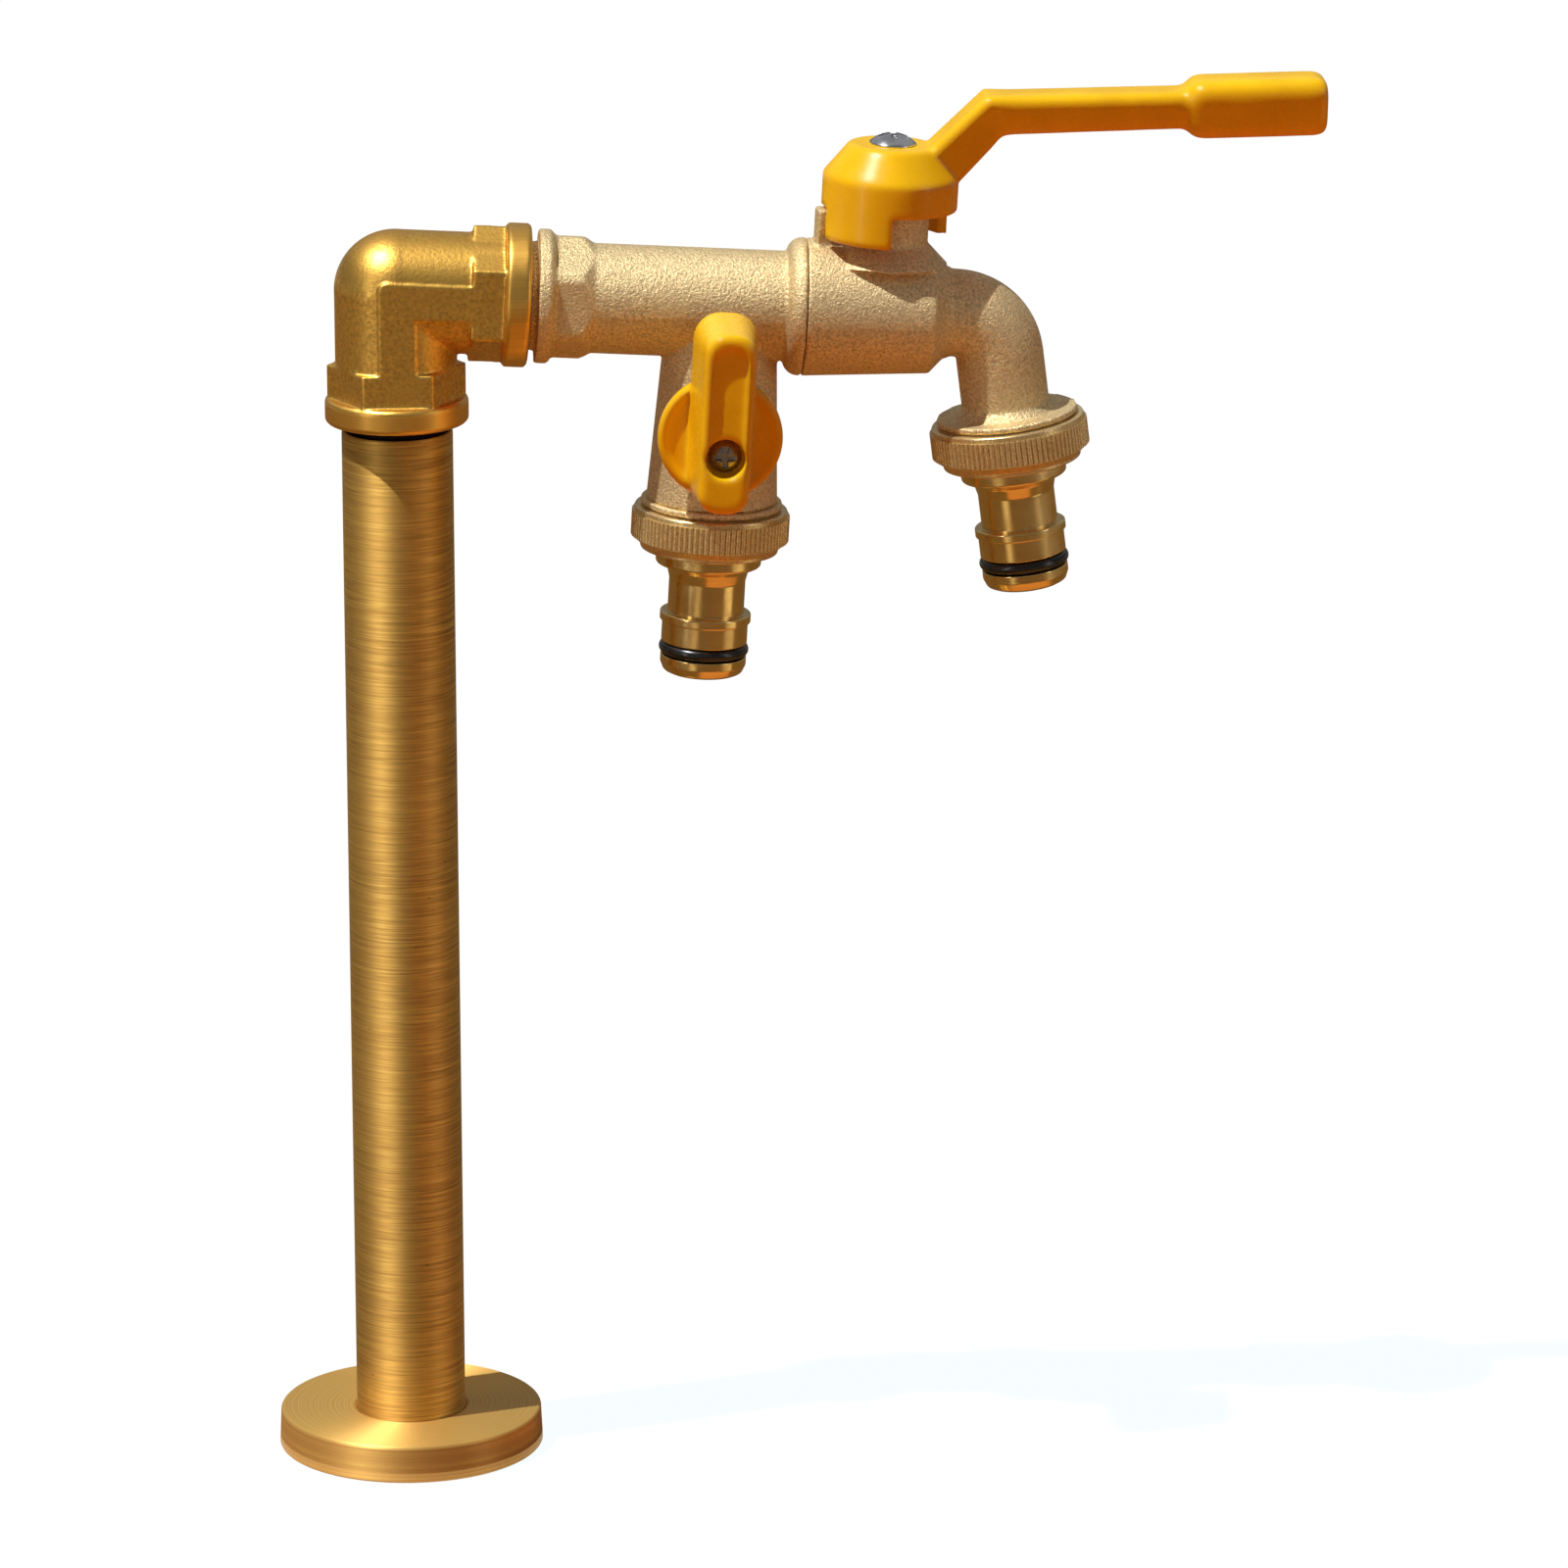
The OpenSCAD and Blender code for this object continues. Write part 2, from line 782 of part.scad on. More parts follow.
// Ball with its port along Z and the tang's slot across +X
module valve_ball(ball_r, port_d) {
    slot_floor = ball_r - tang_depth - tang_lift;
    difference() {
        sphere(r = ball_r);
        translate([0, 0, -ball_r - cut]) cylinder(d = port_d, h = 2 * (ball_r + cut));
        translate([slot_floor, -ball_r, -tang_w / 2 - fit])
            cube([ball_r, 2 * ball_r, tang_w + 2 * fit]);
    }
}

// Stem along +Z: tang, collar, shank with seal grooves, square end, tapped hole
module valve_stem(ball_r, stem_d, square, square_from, end, grooves, tap_d) {
    stem_r = stem_d / 2;
    collar_r = stem_r + stem_collar_w;
    collar_z = ball_r + collar_over;
    tang_r = ball_r * seat_in_share - tang_play;
    difference() {
        union() {
            intersection() {
                translate([-tang_w / 2, -tang_r, ball_r - tang_depth])
                    cube([tang_w, 2 * tang_r, tang_depth + collar_over + fit]);
                cylinder(r = tang_r, h = collar_z + fit);
            }
            translate([0, 0, collar_z]) cylinder(r = collar_r, h = stem_collar_t);
            translate([0, 0, collar_z]) cylinder(r = stem_r, h = square_from - collar_z);
            intersection() {
                translate([-square / 2, -square / 2, collar_z])
                    cube([square, square, end - collar_z]);
                translate([0, 0, collar_z]) cylinder(r = stem_r, h = end - collar_z);
            }
        }
        translate([0, 0, end - tapped_depth]) cylinder(d = tap_d + 2 * fit, h = tapped_depth + cut);
        for (z = grooves)
            ring(stem_r + cut, stem_r - oring_t, z - groove_w / 2, z + groove_w / 2);
    }
}

// Rubber rings of a stem, at its grooves
module stem_orings(stem_d, grooves) {
    for (z = grooves)
        rubber_ring(stem_d / 2 - oring_t / 2 + stem_bore_fit / 2, oring_t, z);
}

// Washer between a stem's collar and the roof of its pocket
module thrust_washer(stem_d, roof) {
    ring(stem_d / 2 + stem_collar_w, stem_d / 2 + fit, roof - thrust_t, roof);
}

main_groove_zs = [for (share = groove_place_shares)
    main_pocket_z + share * (neck_top - main_pocket_z)];
branch_groove_zs = [(branch_pocket_z + boss_z) / 2];
main_stem_end = hub_top_z - hub_plate_t - rest_gap;
knob_seat = knob_top - knob_seat_depth;
branch_stem_end = knob_seat - knob_plate_t - rest_gap;

module main_seat_rear() {
    color(ptfe) at_main_stem() rotate([0, -90, 0])
        ball_seat(main_ball_r, main_seat_r, main_port_d);
}

module main_seat_front() {
    color(ptfe) at_main_stem() rotate([0, 90, 0])
        ball_seat(main_ball_r, main_seat_r, main_port_d);
}

module main_ball() {
    color(steel) at_main_stem() rotate([0, -90, 0])
        valve_ball(main_ball_r, main_port_d);
}

module main_stem() {
    color(brass_turned) at_main_stem()
        valve_stem(main_ball_r, main_stem_d, lever_square, neck_top + rest_gap,
            main_stem_end, main_groove_zs, lever_screw_d);
}

module main_stem_orings() {
    color(rubber) at_main_stem() stem_orings(main_stem_d, main_groove_zs);
}

module main_thrust_washer() {
    color(ptfe) at_main_stem() thrust_washer(main_stem_d, main_pocket_z);
}

// A section of the lever: a rounded rectangle, wide along Y, its underside narrower
function section(w, t, r) =
    [for (q = [0 : 3], i = [0 : corner_steps])
        let (a = 90 * q + 90 * i / corner_steps,
             cy = (q == 0 || q == 3 ? 1 : -1) * (w / 2 - r - (q < 2 ? 0 : section_under)),
             cn = (q < 2 ? 1 : -1) * (t / 2 - r))
        [cy + r * cos(a), cn + r * sin(a)]];

// A section set square to the lever's run at [x, z], the run climbing by pitch
function station(at, pitch, w, t, r) =
    [for (p = section(w, t, r))
        [at[0] - p[1] * sin(pitch), p[0], at[1] + p[1] * cos(pitch)]];

// Solid skinned over equal rings of points
module skin(rings) {
    n = len(rings[0]);
    last = len(rings) - 1;
    points = [for (ring_points = rings, p = ring_points) p];
    sides = [for (j = [0 : last - 1], i = [0 : n - 1])
        let (k = (i + 1) % n)
        each [[j * n + i, (j + 1) * n + k, j * n + k],
              [j * n + i, (j + 1) * n + i, (j + 1) * n + k]]];
    caps = [[for (i = [0 : n - 1]) i], [for (i = [n - 1 : -1 : 0]) last * n + i]];
    polyhedron(points = points, faces = concat(sides, caps), convexity = 4);
}

// The lever's run: up from the hub to the knee, then out along the arm
knee_z = arm_foot_z + (knee_x - arm_foot_x) * tan(arm_rise);
grip_x = lever_reach - grip_len;
grip_end_x = lever_reach - grip_end_round;

function arm_z(x) = knee_z + (x - knee_x) * tan(arm_pitch);

function lerp(a, b, t) = a + (b - a) * t;

function grip_station(x, size) =
    station([x, arm_z(x)], arm_pitch, grip_w * lerp(1, size, grip_width_share), grip_t * size,
        min(grip_corner, grip_t * size * section_round_share));

lever_rings = concat(
    [station([arm_foot_x, arm_foot_z], arm_rise, arm_w, arm_foot_t, arm_corner)],
    [station([knee_x, knee_z], (arm_rise + arm_pitch) / 2, arm_w,
        knee_t / cos((arm_rise - arm_pitch) / 2), arm_corner)],
    [station([grip_x - grip_start_round, arm_z(grip_x - grip_start_round)],
        arm_pitch, arm_w, arm_t, arm_corner)],
    [for (i = [0 : len(grip_start_place_shares) - 1])
        grip_station(grip_x - grip_start_round * grip_slope_share * (1 - grip_start_place_shares[i]),
            grip_start_size_shares[i])],
    [for (i = [0 : len(grip_end_place_shares) - 1])
        grip_station(grip_end_x + grip_end_round * grip_end_place_shares[i],
            grip_end_size_shares[i])]);

module lever_hub() {
    r = hub_d / 2;
    r_in = r - hub_wall;
    rotate_extrude()
        polygon([
            [0, hub_web_z],
            [r_in - hub_edge, hub_web_z],
            [r_in, hub_web_z - hub_edge],
            [r_in, hub_tab_z],
            [r, hub_tab_z],
            [r, hub_rim_z - hub_edge],
            [r - hub_edge, hub_rim_z + hub_rim_share * hub_edge],
            [hub_top_r + hub_edge, hub_top_z - hub_top_share * hub_edge],
            [hub_top_r, hub_top_z],
            [0, hub_top_z]
        ]);
}

// What is cut from the skirt: all but the two tabs that meet the stop lug
module hub_skirt_gaps() {
    r = hub_d / 2;
    front_from = lug_to + stop_play;
    front_to = front_from + tab_front_span;
    rear_to = lug_from - stop_play - quarter;
    rear_from = rear_to - tab_rear_span;
    for (gap = [[front_to, rear_from + 360], [rear_to, front_from]])
        ring_sector(r + cut, r - hub_wall - cut, hub_tab_z - cut, hub_skirt_z, gap[0], gap[1]);
}

module lever_handle() {
    color(lacquer)
        at_main_stem()
            difference() {
                union() {
                    lever_hub();
                    skin(lever_rings);
                }
                hub_skirt_gaps();
                translate([-lever_square / 2 - fit, -lever_square / 2 - fit, hub_web_z - cut])
                    cube([lever_square + 2 * fit, lever_square + 2 * fit,
                        hub_top_z - hub_plate_t - hub_web_z + cut]);
                translate([0, 0, hub_web_z]) cylinder(d = lever_screw_d + 4 * fit, h = hub_top_z);
            }
}

// Screw along -Z from its head's seat: domed head with a cross recess
module cross_screw(head_d, head_h, shank_d, shank_len) {
    head_r = head_d / 2;
    dome_r = (head_r * head_r + head_h * head_h) / (2 * head_h);
    difference() {
        intersection() {
            cylinder(r = head_r - bevel / 2, h = head_h);
            translate([0, 0, head_h - dome_r]) sphere(r = dome_r);
        }
        for (turn = [0, 90])
            rotate([0, 0, turn])
                translate([-head_r * recess_reach_share, -recess_w / 2, head_h - recess_depth])
                    cube([2 * head_r * recess_reach_share, recess_w, recess_depth + cut]);
    }
    translate([0, 0, -shank_len]) cylinder(d = shank_d, h = shank_len + head_h / 4);
}

module lever_screw() {
    color(steel) at_main_stem() translate([0, 0, hub_top_z])
        cross_screw(lever_head_d, lever_head_h, lever_screw_d, tapped_depth);
}

module branch_insert() {
    thread_top = branch_outlet_drop - branch_room;
    color(brass_cast) at_branch_outlet()
        difference() {
            union() {
                outlet_end();
                translate([0, 0, -thread_top]) cylinder(r = insert_thread_r, h = thread_top);
            }
            translate([0, 0, -thread_top - cut])
                cylinder(d = branch_port_d + port_lead, h = thread_top + outlet_thread_len + 2 * cut);
        }
}

module branch_seat_upper() {
    color(ptfe) at_branch() ball_seat(branch_ball_r, branch_seat_r, branch_port_d);
}

module branch_seat_lower() {
    color(ptfe) at_branch() rotate([180, 0, 0])
        ball_seat(branch_ball_r, branch_seat_r, branch_port_d);
}

module branch_ball() {
    color(steel) at_branch() rotate([0, 0, -90]) valve_ball(branch_ball_r, branch_port_d);
}

module branch_stem() {
    color(brass_turned) at_knob() rotate([0, 0, 90])
        valve_stem(branch_ball_r, branch_stem_d, knob_square, boss_z + rest_gap,
            branch_stem_end, branch_groove_zs, knob_screw_d);
}

module branch_stem_oring() {
    color(rubber) at_knob() stem_orings(branch_stem_d, branch_groove_zs);
}

module branch_thrust_washer() {
    color(ptfe) at_knob() thrust_washer(branch_stem_d, branch_pocket_z);
}

// Outline of the finger bar, set in by a distance all round and lowered at its top end
module bar_outline(inset, top_rise) {
    corner = bar_w * bar_corner_share - inset;
    side = bar_w / 2 - inset - corner;
    hull() {
        for (s = [-1, 1]) {
            translate([s * side, bar_reach + top_rise - inset - corner])
                circle(r = corner, $fn = round_fn);
            translate([s * side, -bar_tail + inset + corner])
                circle(r = corner, $fn = round_fn);
        }
    }
}

// The drafted finger bar with its rounded front edge
module finger_bar() {
    slice = fit;
    hull() {
        translate([0, 0, knob_rim - knob_dish - slice])
            linear_extrude(slice) bar_outline(0, 0);
        translate([0, 0, knob_top - bar_round])
            linear_extrude(slice) bar_outline(bar_draft, bar_end_rise * bar_shoulder_share);
        translate([0, 0, knob_top - bar_round * bar_nose_share])
            linear_extrude(slice) bar_outline(bar_draft + bar_round * bar_nose_share, bar_end_rise);
        translate([0, 0, knob_top - slice])
            linear_extrude(slice) bar_outline(bar_draft + bar_round, bar_end_rise);
    }
}

module branch_knob() {
    r = knob_d / 2;
    dish_r = r - knob_dish_land;
    channel_w = bar_w * bar_channel_share;
    channel_len = bar_reach + bar_end_rise - bar_draft - 2 * bar_round - channel_w / 2;
    slot_from = knob_lug_from - stop_play;
    slot_to = knob_lug_to + quarter + stop_play;
    color(lacquer) at_knob()
        difference() {
            union() {
                rotate_extrude()
                    polygon([
                        [0, knob_back],
                        [r - knob_edge, knob_back],
                        [r, knob_back + knob_edge],
                        [r, knob_rim - knob_edge],
                        [r - knob_edge, knob_rim],
                        [dish_r, knob_rim],
                        [dish_r - 2 * knob_dish, knob_rim - knob_dish],
                        [0, knob_rim - knob_dish]
                    ]);
                finger_bar();
            }
            // Recess round the body's boss, and the arc in which the stop lug travels
            translate([0, 0, knob_back - cut])
                cylinder(r = boss_r + boss_side_gap, h = boss_room - knob_back + cut);
            ring_sector(boss_r + knob_lug_h + boss_side_gap, boss_r - cut, knob_back - cut,
                boss_room, slot_from, slot_to);
            translate([-knob_square / 2 - fit, -knob_square / 2 - fit, boss_room - cut])
                cube([knob_square + 2 * fit, knob_square + 2 * fit,
                    knob_seat - knob_plate_t - boss_room + cut]);
            cylinder(d = knob_screw_d + 4 * fit, h = knob_top);
            translate([0, 0, knob_seat]) cylinder(d = knob_counterbore_d, h = knob_top);
            // Shallow thumb channel from the screw to the bar's end, which it follows round
            translate([-channel_w / 2, 0, knob_top - bar_channel_depth])
                cube([channel_w, channel_len, bar_channel_depth + cut]);
            translate([0, channel_len, knob_top - bar_channel_depth])
                cylinder(d = channel_w - 2 * corner_step, h = bar_channel_depth + cut);
        }
}

module knob_screw() {
    color(steel) at_knob() translate([0, 0, knob_seat])
        cross_screw(knob_head_d, knob_head_h, knob_screw_d, knob_shank_len);
}

// Knurled band: straight flutes round a nut
module knurled_band(r, from, to) {
    translate([0, 0, from])
        linear_extrude(to - from)
            polygon([for (i = [0 : 2 * knurl_count - 1])
                let (a = 180 * i / knurl_count, p = i % 2 == 0 ? r : r - knurl_depth)
                [p * cos(a), p * sin(a)]]);
}

module coupling_nut() {
    rim_r = nut_r - knurl_depth - knurl_base;
    band_from = nut_gap + nut_top_bevel;
    band_to = nut_end - nut_bottom_bevel - nut_bottom_step;
    difference() {
        union() {
            rotate_extrude()
                polygon([
                    [0, nut_gap],
                    [rim_r - nut_bevel_in, nut_gap],
                    [rim_r, nut_gap + nut_bevel_in],
                    [rim_r, band_to],
                    [rim_r - nut_bottom_bevel, nut_end - nut_bottom_step],
                    [rim_r - nut_bottom_bevel, nut_end],
                    [0, nut_end]
                ]);
            knurled_band(nut_r, band_from, band_to);
        }
        translate([0, 0, nut_gap - cut]) cylinder(r = outlet_r, h = tail_lip_at - nut_gap + cut);
        cylinder(r = tail_collar_r + lip_fit, h = nut_end + cut);
    }
}

module coupling_washer() {
    ring(washer_r, washer_bore_r, outlet_thread_len, tail_flange_at);
}

module hose_tail() {
    neck_top_r = waist_r + waist_flare * flare_top_share;
    tip_r = tail_r * tip_r_share;
    bead_r = tail_r + bead_over;
    groove_r = tail_r + tail_oring_proud - tail_oring_t;
    difference() {
        rotate_extrude()
            polygon(concat([
                [0, tail_flange_at],
                [tail_flange_r, tail_flange_at],
                [tail_flange_r, tail_lip_at],
                [tail_collar_r, tail_lip_at],
                [tail_collar_r, tail_collar_end - bevel],
                [tail_collar_r - bevel, tail_collar_end],
                [neck_top_r, tail_collar_end],
                [waist_r + waist_flare * flare_mid_share, tail_collar_end + waist_flare / 2],
                [waist_r, tail_collar_end + waist_flare],
                [waist_r, plug_from - bead_w],
                [bead_r - bevel, plug_from - bead_w],
                [bead_r, plug_from - bead_w + bevel],
                [bead_r, plug_from - bevel / 2],
                [tail_r, plug_from],
                [tail_r, groove_from],
                [groove_r, groove_from],
                [groove_r, tip_from],
                [tail_r, tip_from],
                [tail_r, tip_from + tip_land]],
                [for (i = [1 : tip_steps])
                    let (a = 90 * i / tip_steps)
                    [tip_r + (tail_r - tip_r) * cos(a),
                     tip_from + tip_land + (tip_len - tip_land) * sin(a)]],
                [[0, tail_len]]));
        cylinder(d = tail_bore, h = tail_len + cut);
    }
}

module tail_oring() {
    groove_r = tail_r + tail_oring_proud - tail_oring_t;
    rubber_ring(groove_r + tail_oring_t / 2 + fit / 2, tail_oring_t, (groove_from + tip_from) / 2);
}

module branch_nut() { color(brass_turned) at_branch_outlet() coupling_nut(); }
module branch_washer() { color(rubber) at_branch_outlet() coupling_washer(); }
module branch_tail() { color(brass_turned) at_branch_outlet() hose_tail(); }
module branch_tail_oring() { color(rubber) at_branch_outlet() tail_oring(); }
module spout_nut() { color(brass_turned) at_spout_outlet() coupling_nut(); }
module spout_washer() { color(rubber) at_spout_outlet() coupling_washer(); }
module spout_tail() { color(brass_turned) at_spout_outlet() hose_tail(); }
module spout_tail_oring() { color(rubber) at_spout_outlet() tail_oring(); }

base_flange();
riser_pipe();
elbow();
tap_rear_body();
body_joint_seal();
tap_front_body();
main_seat_rear();
main_seat_front();
main_ball();
main_stem();
main_stem_orings();
main_thrust_washer();
lever_handle();
lever_screw();
branch_insert();
branch_seat_upper();
branch_seat_lower();
branch_ball();
branch_stem();
branch_stem_oring();
branch_thrust_washer();
branch_knob();
knob_screw();
branch_nut();
branch_washer();
branch_tail();
branch_tail_oring();
spout_nut();
spout_washer();
spout_tail();
spout_tail_oring();
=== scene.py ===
"""Garden standpipe: looks, light and camera round its fixed frame.

Every size is in metres and every piece lies in the frame's own place: the origin is the
centre of the foot's underside, +Z is up, +X runs along the tap and -Y faces the user.
"""
import json
import math

import bmesh
import bpy
from bpy.props import FloatProperty, FloatVectorProperty, IntProperty, PointerProperty
from mathutils import Matrix, Vector


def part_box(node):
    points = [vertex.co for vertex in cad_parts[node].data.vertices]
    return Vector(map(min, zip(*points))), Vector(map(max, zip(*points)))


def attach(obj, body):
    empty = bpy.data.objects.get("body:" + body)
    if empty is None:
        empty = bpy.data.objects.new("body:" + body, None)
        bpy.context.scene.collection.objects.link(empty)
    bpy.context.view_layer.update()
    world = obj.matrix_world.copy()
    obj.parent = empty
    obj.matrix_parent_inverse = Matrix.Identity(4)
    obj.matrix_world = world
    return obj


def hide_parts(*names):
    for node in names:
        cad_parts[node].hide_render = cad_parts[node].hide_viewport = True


bl_info = {
    "name": "Garden standpipe",
    "version": (1, 0, 0),
    "blender": (4, 5, 0),
    "location": "View3D > Sidebar > Standpipe",
    "description": "Dresses and lights a brass garden standpipe round its fixed frame",
    "category": "Add Mesh",
}

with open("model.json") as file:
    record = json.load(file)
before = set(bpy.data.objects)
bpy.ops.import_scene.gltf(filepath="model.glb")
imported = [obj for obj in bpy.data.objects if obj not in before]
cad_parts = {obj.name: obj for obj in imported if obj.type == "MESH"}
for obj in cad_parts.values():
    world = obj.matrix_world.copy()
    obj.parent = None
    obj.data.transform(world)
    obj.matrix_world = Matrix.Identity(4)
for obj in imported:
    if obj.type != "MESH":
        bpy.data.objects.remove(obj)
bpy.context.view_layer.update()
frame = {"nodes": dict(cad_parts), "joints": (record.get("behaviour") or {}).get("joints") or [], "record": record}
JOINTS = {joint["name"]: joint for joint in frame["joints"]}
MOUNTS = {mount["name"]: mount for mount in frame["record"]["mounts"]}
MM = 0.001


def linear(code):
    """An sRGB hex value as linear red, green and blue."""
    shares = [int(code[i:i + 2], 16) / 255 for i in (1, 3, 5)]
    return tuple(
        c / 12.92 if c <= 0.04045 else ((c + 0.055) / 1.055) ** 2.4 for c in shares
    )


def frame_at(origin, x_axis, z_axis):
    """A placing matrix from an origin, an x axis and a z axis."""
    z = Vector(z_axis).normalized()
    y = z.cross(Vector(x_axis)).normalized()
    x = y.cross(z)
    turned = Matrix((x, y, z)).transposed().to_4x4()
    return Matrix.Translation(Vector(origin)) @ turned


# The tap's own directions, from the lever's axis, which stands square on the tap
UP = Vector(JOINTS["lever_turn"]["axis"]).normalized()
ALONG = Vector((UP.z, 0, -UP.x))
HUB = Vector(JOINTS["lever_turn"]["pos_m"])
# Back from the lever's axis, along the tap, to the riser's axis
ELBOW_CENTRE = HUB - HUB.x / ALONG.x * ALONG
OUTLETS = {
    name: frame_at(turn["pos_m"], ALONG, turn["axis"])
    for name, turn in (("branch", JOINTS["branch_nut_turn"]),
                       ("spout", JOINTS["spout_nut_turn"]))}
# From the elbow's centre to the face of a mouth, and from there to the pipe's shoulder
ELBOW_LEG = 26.3 * MM
JOINT_GAP = 1.8 * MM


class StandpipeSizes(bpy.types.PropertyGroup):
    """Sizes of the details that the frame leaves open."""

    cast_mesh: FloatProperty(
        name="Casting mesh", description="Face size of the castings' skin",
        default=0.36 * MM, unit="LENGTH")
    coat_mesh: FloatProperty(
        name="Coating mesh", description="Face size of the coated handles' skin",
        default=0.27 * MM, unit="LENGTH")
    arm_rounds: IntProperty(
        name="Arm rounds", description="Extra smoothing of the lever's arm and grip",
        default=200)
    screw_mesh: FloatProperty(
        name="Screw mesh", description="Face size of the screws' skin",
        default=0.11 * MM, unit="LENGTH")
    turned_edge: FloatProperty(
        name="Turned edge", description="Radius on the edges of turned pieces",
        default=0.2 * MM, unit="LENGTH")
    segments: IntProperty(
        name="Segments", description="Faces round a turned piece", default=192)
    flutes: IntProperty(
        name="Flutes", description="Flutes round each coupling nut", default=90)
    flute_depth: FloatProperty(
        name="Flute depth", description="Height of a flute above its valley",
        default=0.5 * MM, unit="LENGTH")


class StandpipeColours(bpy.types.PropertyGroup):
    """Colours of the finishes."""

    tube: FloatVectorProperty(
        name="Tube", description="Brushed brass of the riser and its foot",
        subtype="COLOR", default=linear("#ffc66c"))
    elbow: FloatVectorProperty(
        name="Elbow", description="Satin brass of the elbow",
        subtype="COLOR", default=linear("#f8c05c"))
    casting: FloatVectorProperty(
        name="Casting", description="Shot-blasted brass of the tap",
        subtype="COLOR", default=linear("#f3d9a4"))
    turned: FloatVectorProperty(
        name="Turned", description="Turned and polished brass of the hose tails",
        subtype="COLOR", default=linear("#efcd86"))
    knurl: FloatVectorProperty(
        name="Knurl", description="Knurled brass of the nuts",
        subtype="COLOR", default=linear("#fbdca0"))
    coat: FloatVectorProperty(
        name="Coat", description="Powder coat of both handles",
        subtype="COLOR", default=linear("#ffc60a"))
    floor: FloatVectorProperty(
        name="Floor", description="Warm ground under the standpipe, as the object sees it",
        subtype="COLOR", default=linear("#b65c18"))


class StandpipeStage(bpy.types.PropertyGroup):
    """Lamps and sky."""

    key: FloatProperty(
        name="Key lamp", description="Strength of the sun lamp", default=3.75)
    key_height: FloatProperty(
        name="Key height", description="Height of the sun lamp above level",
        default=math.radians(66), subtype="ANGLE")
    key_side: FloatProperty(
        name="Key side", description="Turn of the sun lamp from the left towards the user",
        default=math.radians(18), subtype="ANGLE")
    sky: FloatProperty(
        name="Sky", description="Strength of the even sky", default=0.15)
    back: FloatProperty(
        name="Back panel", description="Power of the wide panel behind and above",
        default=3.0, unit="POWER")


# Meshes

def finished(name, mesh, body, materials, nodes=()):
    """Puts a mesh on a body as a finished piece that stands for the named nodes."""
    piece = bpy.data.objects.new(name, mesh)
    bpy.context.scene.collection.objects.link(piece)
    mesh.materials.clear()
    for material in materials:
        mesh.materials.append(material)
    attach(piece, body)
    if nodes:
        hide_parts(*nodes)
    return piece


def workpiece(name, mesh):
    """A scene object that holds a mesh while modifiers work on it."""
    work = bpy.data.objects.new(name, mesh)
    bpy.context.scene.collection.objects.link(work)
    return work


def modify(work, kind, **settings):
    modifier = work.modifiers.new(kind.lower(), kind)
    for key, value in settings.items():
        setattr(modifier, key, value)
    return modifier


def applied(work, name):
    """The work's mesh after its modifiers, as a plain mesh. The work goes."""
    graph = bpy.context.evaluated_depsgraph_get()
    result = bpy.data.meshes.new_from_object(work.evaluated_get(graph))
    result.name = name
    bpy.data.objects.remove(work)
    result.shade_smooth()
    return result


def node_copy(node):
    """A merged copy of a node's mesh."""
    shell = bmesh.new()
    shell.from_mesh(frame["nodes"][node].data)
    bmesh.ops.remove_doubles(shell, verts=shell.verts, dist=1e-6)
    mesh = bpy.data.meshes.new(node + "_solid")
    shell.to_mesh(mesh)
    shell.free()
    return mesh


def soft_skin(node, face, rounds, keep=1.0):
    """One closed skin of even faces over a node's mesh, its edges rounded by smoothing.
    keep is the share of its faces that stay where they can be spared."""
    name = node + "_skin"
    work = workpiece(name, node_copy(node))
    modify(work, "REMESH", mode="VOXEL", voxel_size=face, adaptivity=0.0)
    modify(work, "SMOOTH", factor=0.5, iterations=rounds)
    if keep < 1:
        modify(work, "DECIMATE", ratio=keep)
    return applied(work, name)


def softened(mesh, weight, rounds):
    """The skin smoothed further where weight(point) is above 0, for a larger edge radius."""
    name = mesh.name
    work = workpiece(name, mesh)
    group = work.vertex_groups.new(name="soft")
    for vertex in mesh.vertices:
        share = weight(vertex.co)
        if share > 0:
            group.add([vertex.index], share, "REPLACE")
    modify(work, "SMOOTH", factor=0.5, iterations=rounds, vertex_group=group.name)
    return applied(work, name)


def rounded(points, radius, steps=4):
    """A closed outline of (r, z) with its corners rounded. A corner may bring its own
    radius as a third value."""
    result = []
    hold = 0.05 * MM
    count = len(points)
    for i, point in enumerate(points):
        here = Vector(point[:2])
        before = Vector(points[i - 1][:2]) - here
        after = Vector(points[(i + 1) % count][:2]) - here
        r = point[2] if len(point) > 2 else radius
        turn = before.angle(after, math.pi)
        r = min(r, 0.4 * min(before.length, after.length) * math.tan(turn / 2))
        if r < 0.01 * MM or turn > math.radians(176) or here.x < 1e-7:
            result.append(here)
            continue
        reach = r / math.tan(turn / 2)
        start = here + before.normalized() * reach
        end = here + after.normalized() * reach
        middle = here + (before.normalized() + after.normalized()).normalized() * (
            r / math.sin(turn / 2))
        a = start - middle
        sweep = a.angle_signed(end - middle)
        result.append(start + before.normalized() * min(hold, reach * 0.2))
        for k in range(steps + 1):
            result.append(middle + Matrix.Rotation(-sweep * k / steps, 2) @ a)
        result.append(end + after.normalized() * min(hold, reach * 0.2))
    return result


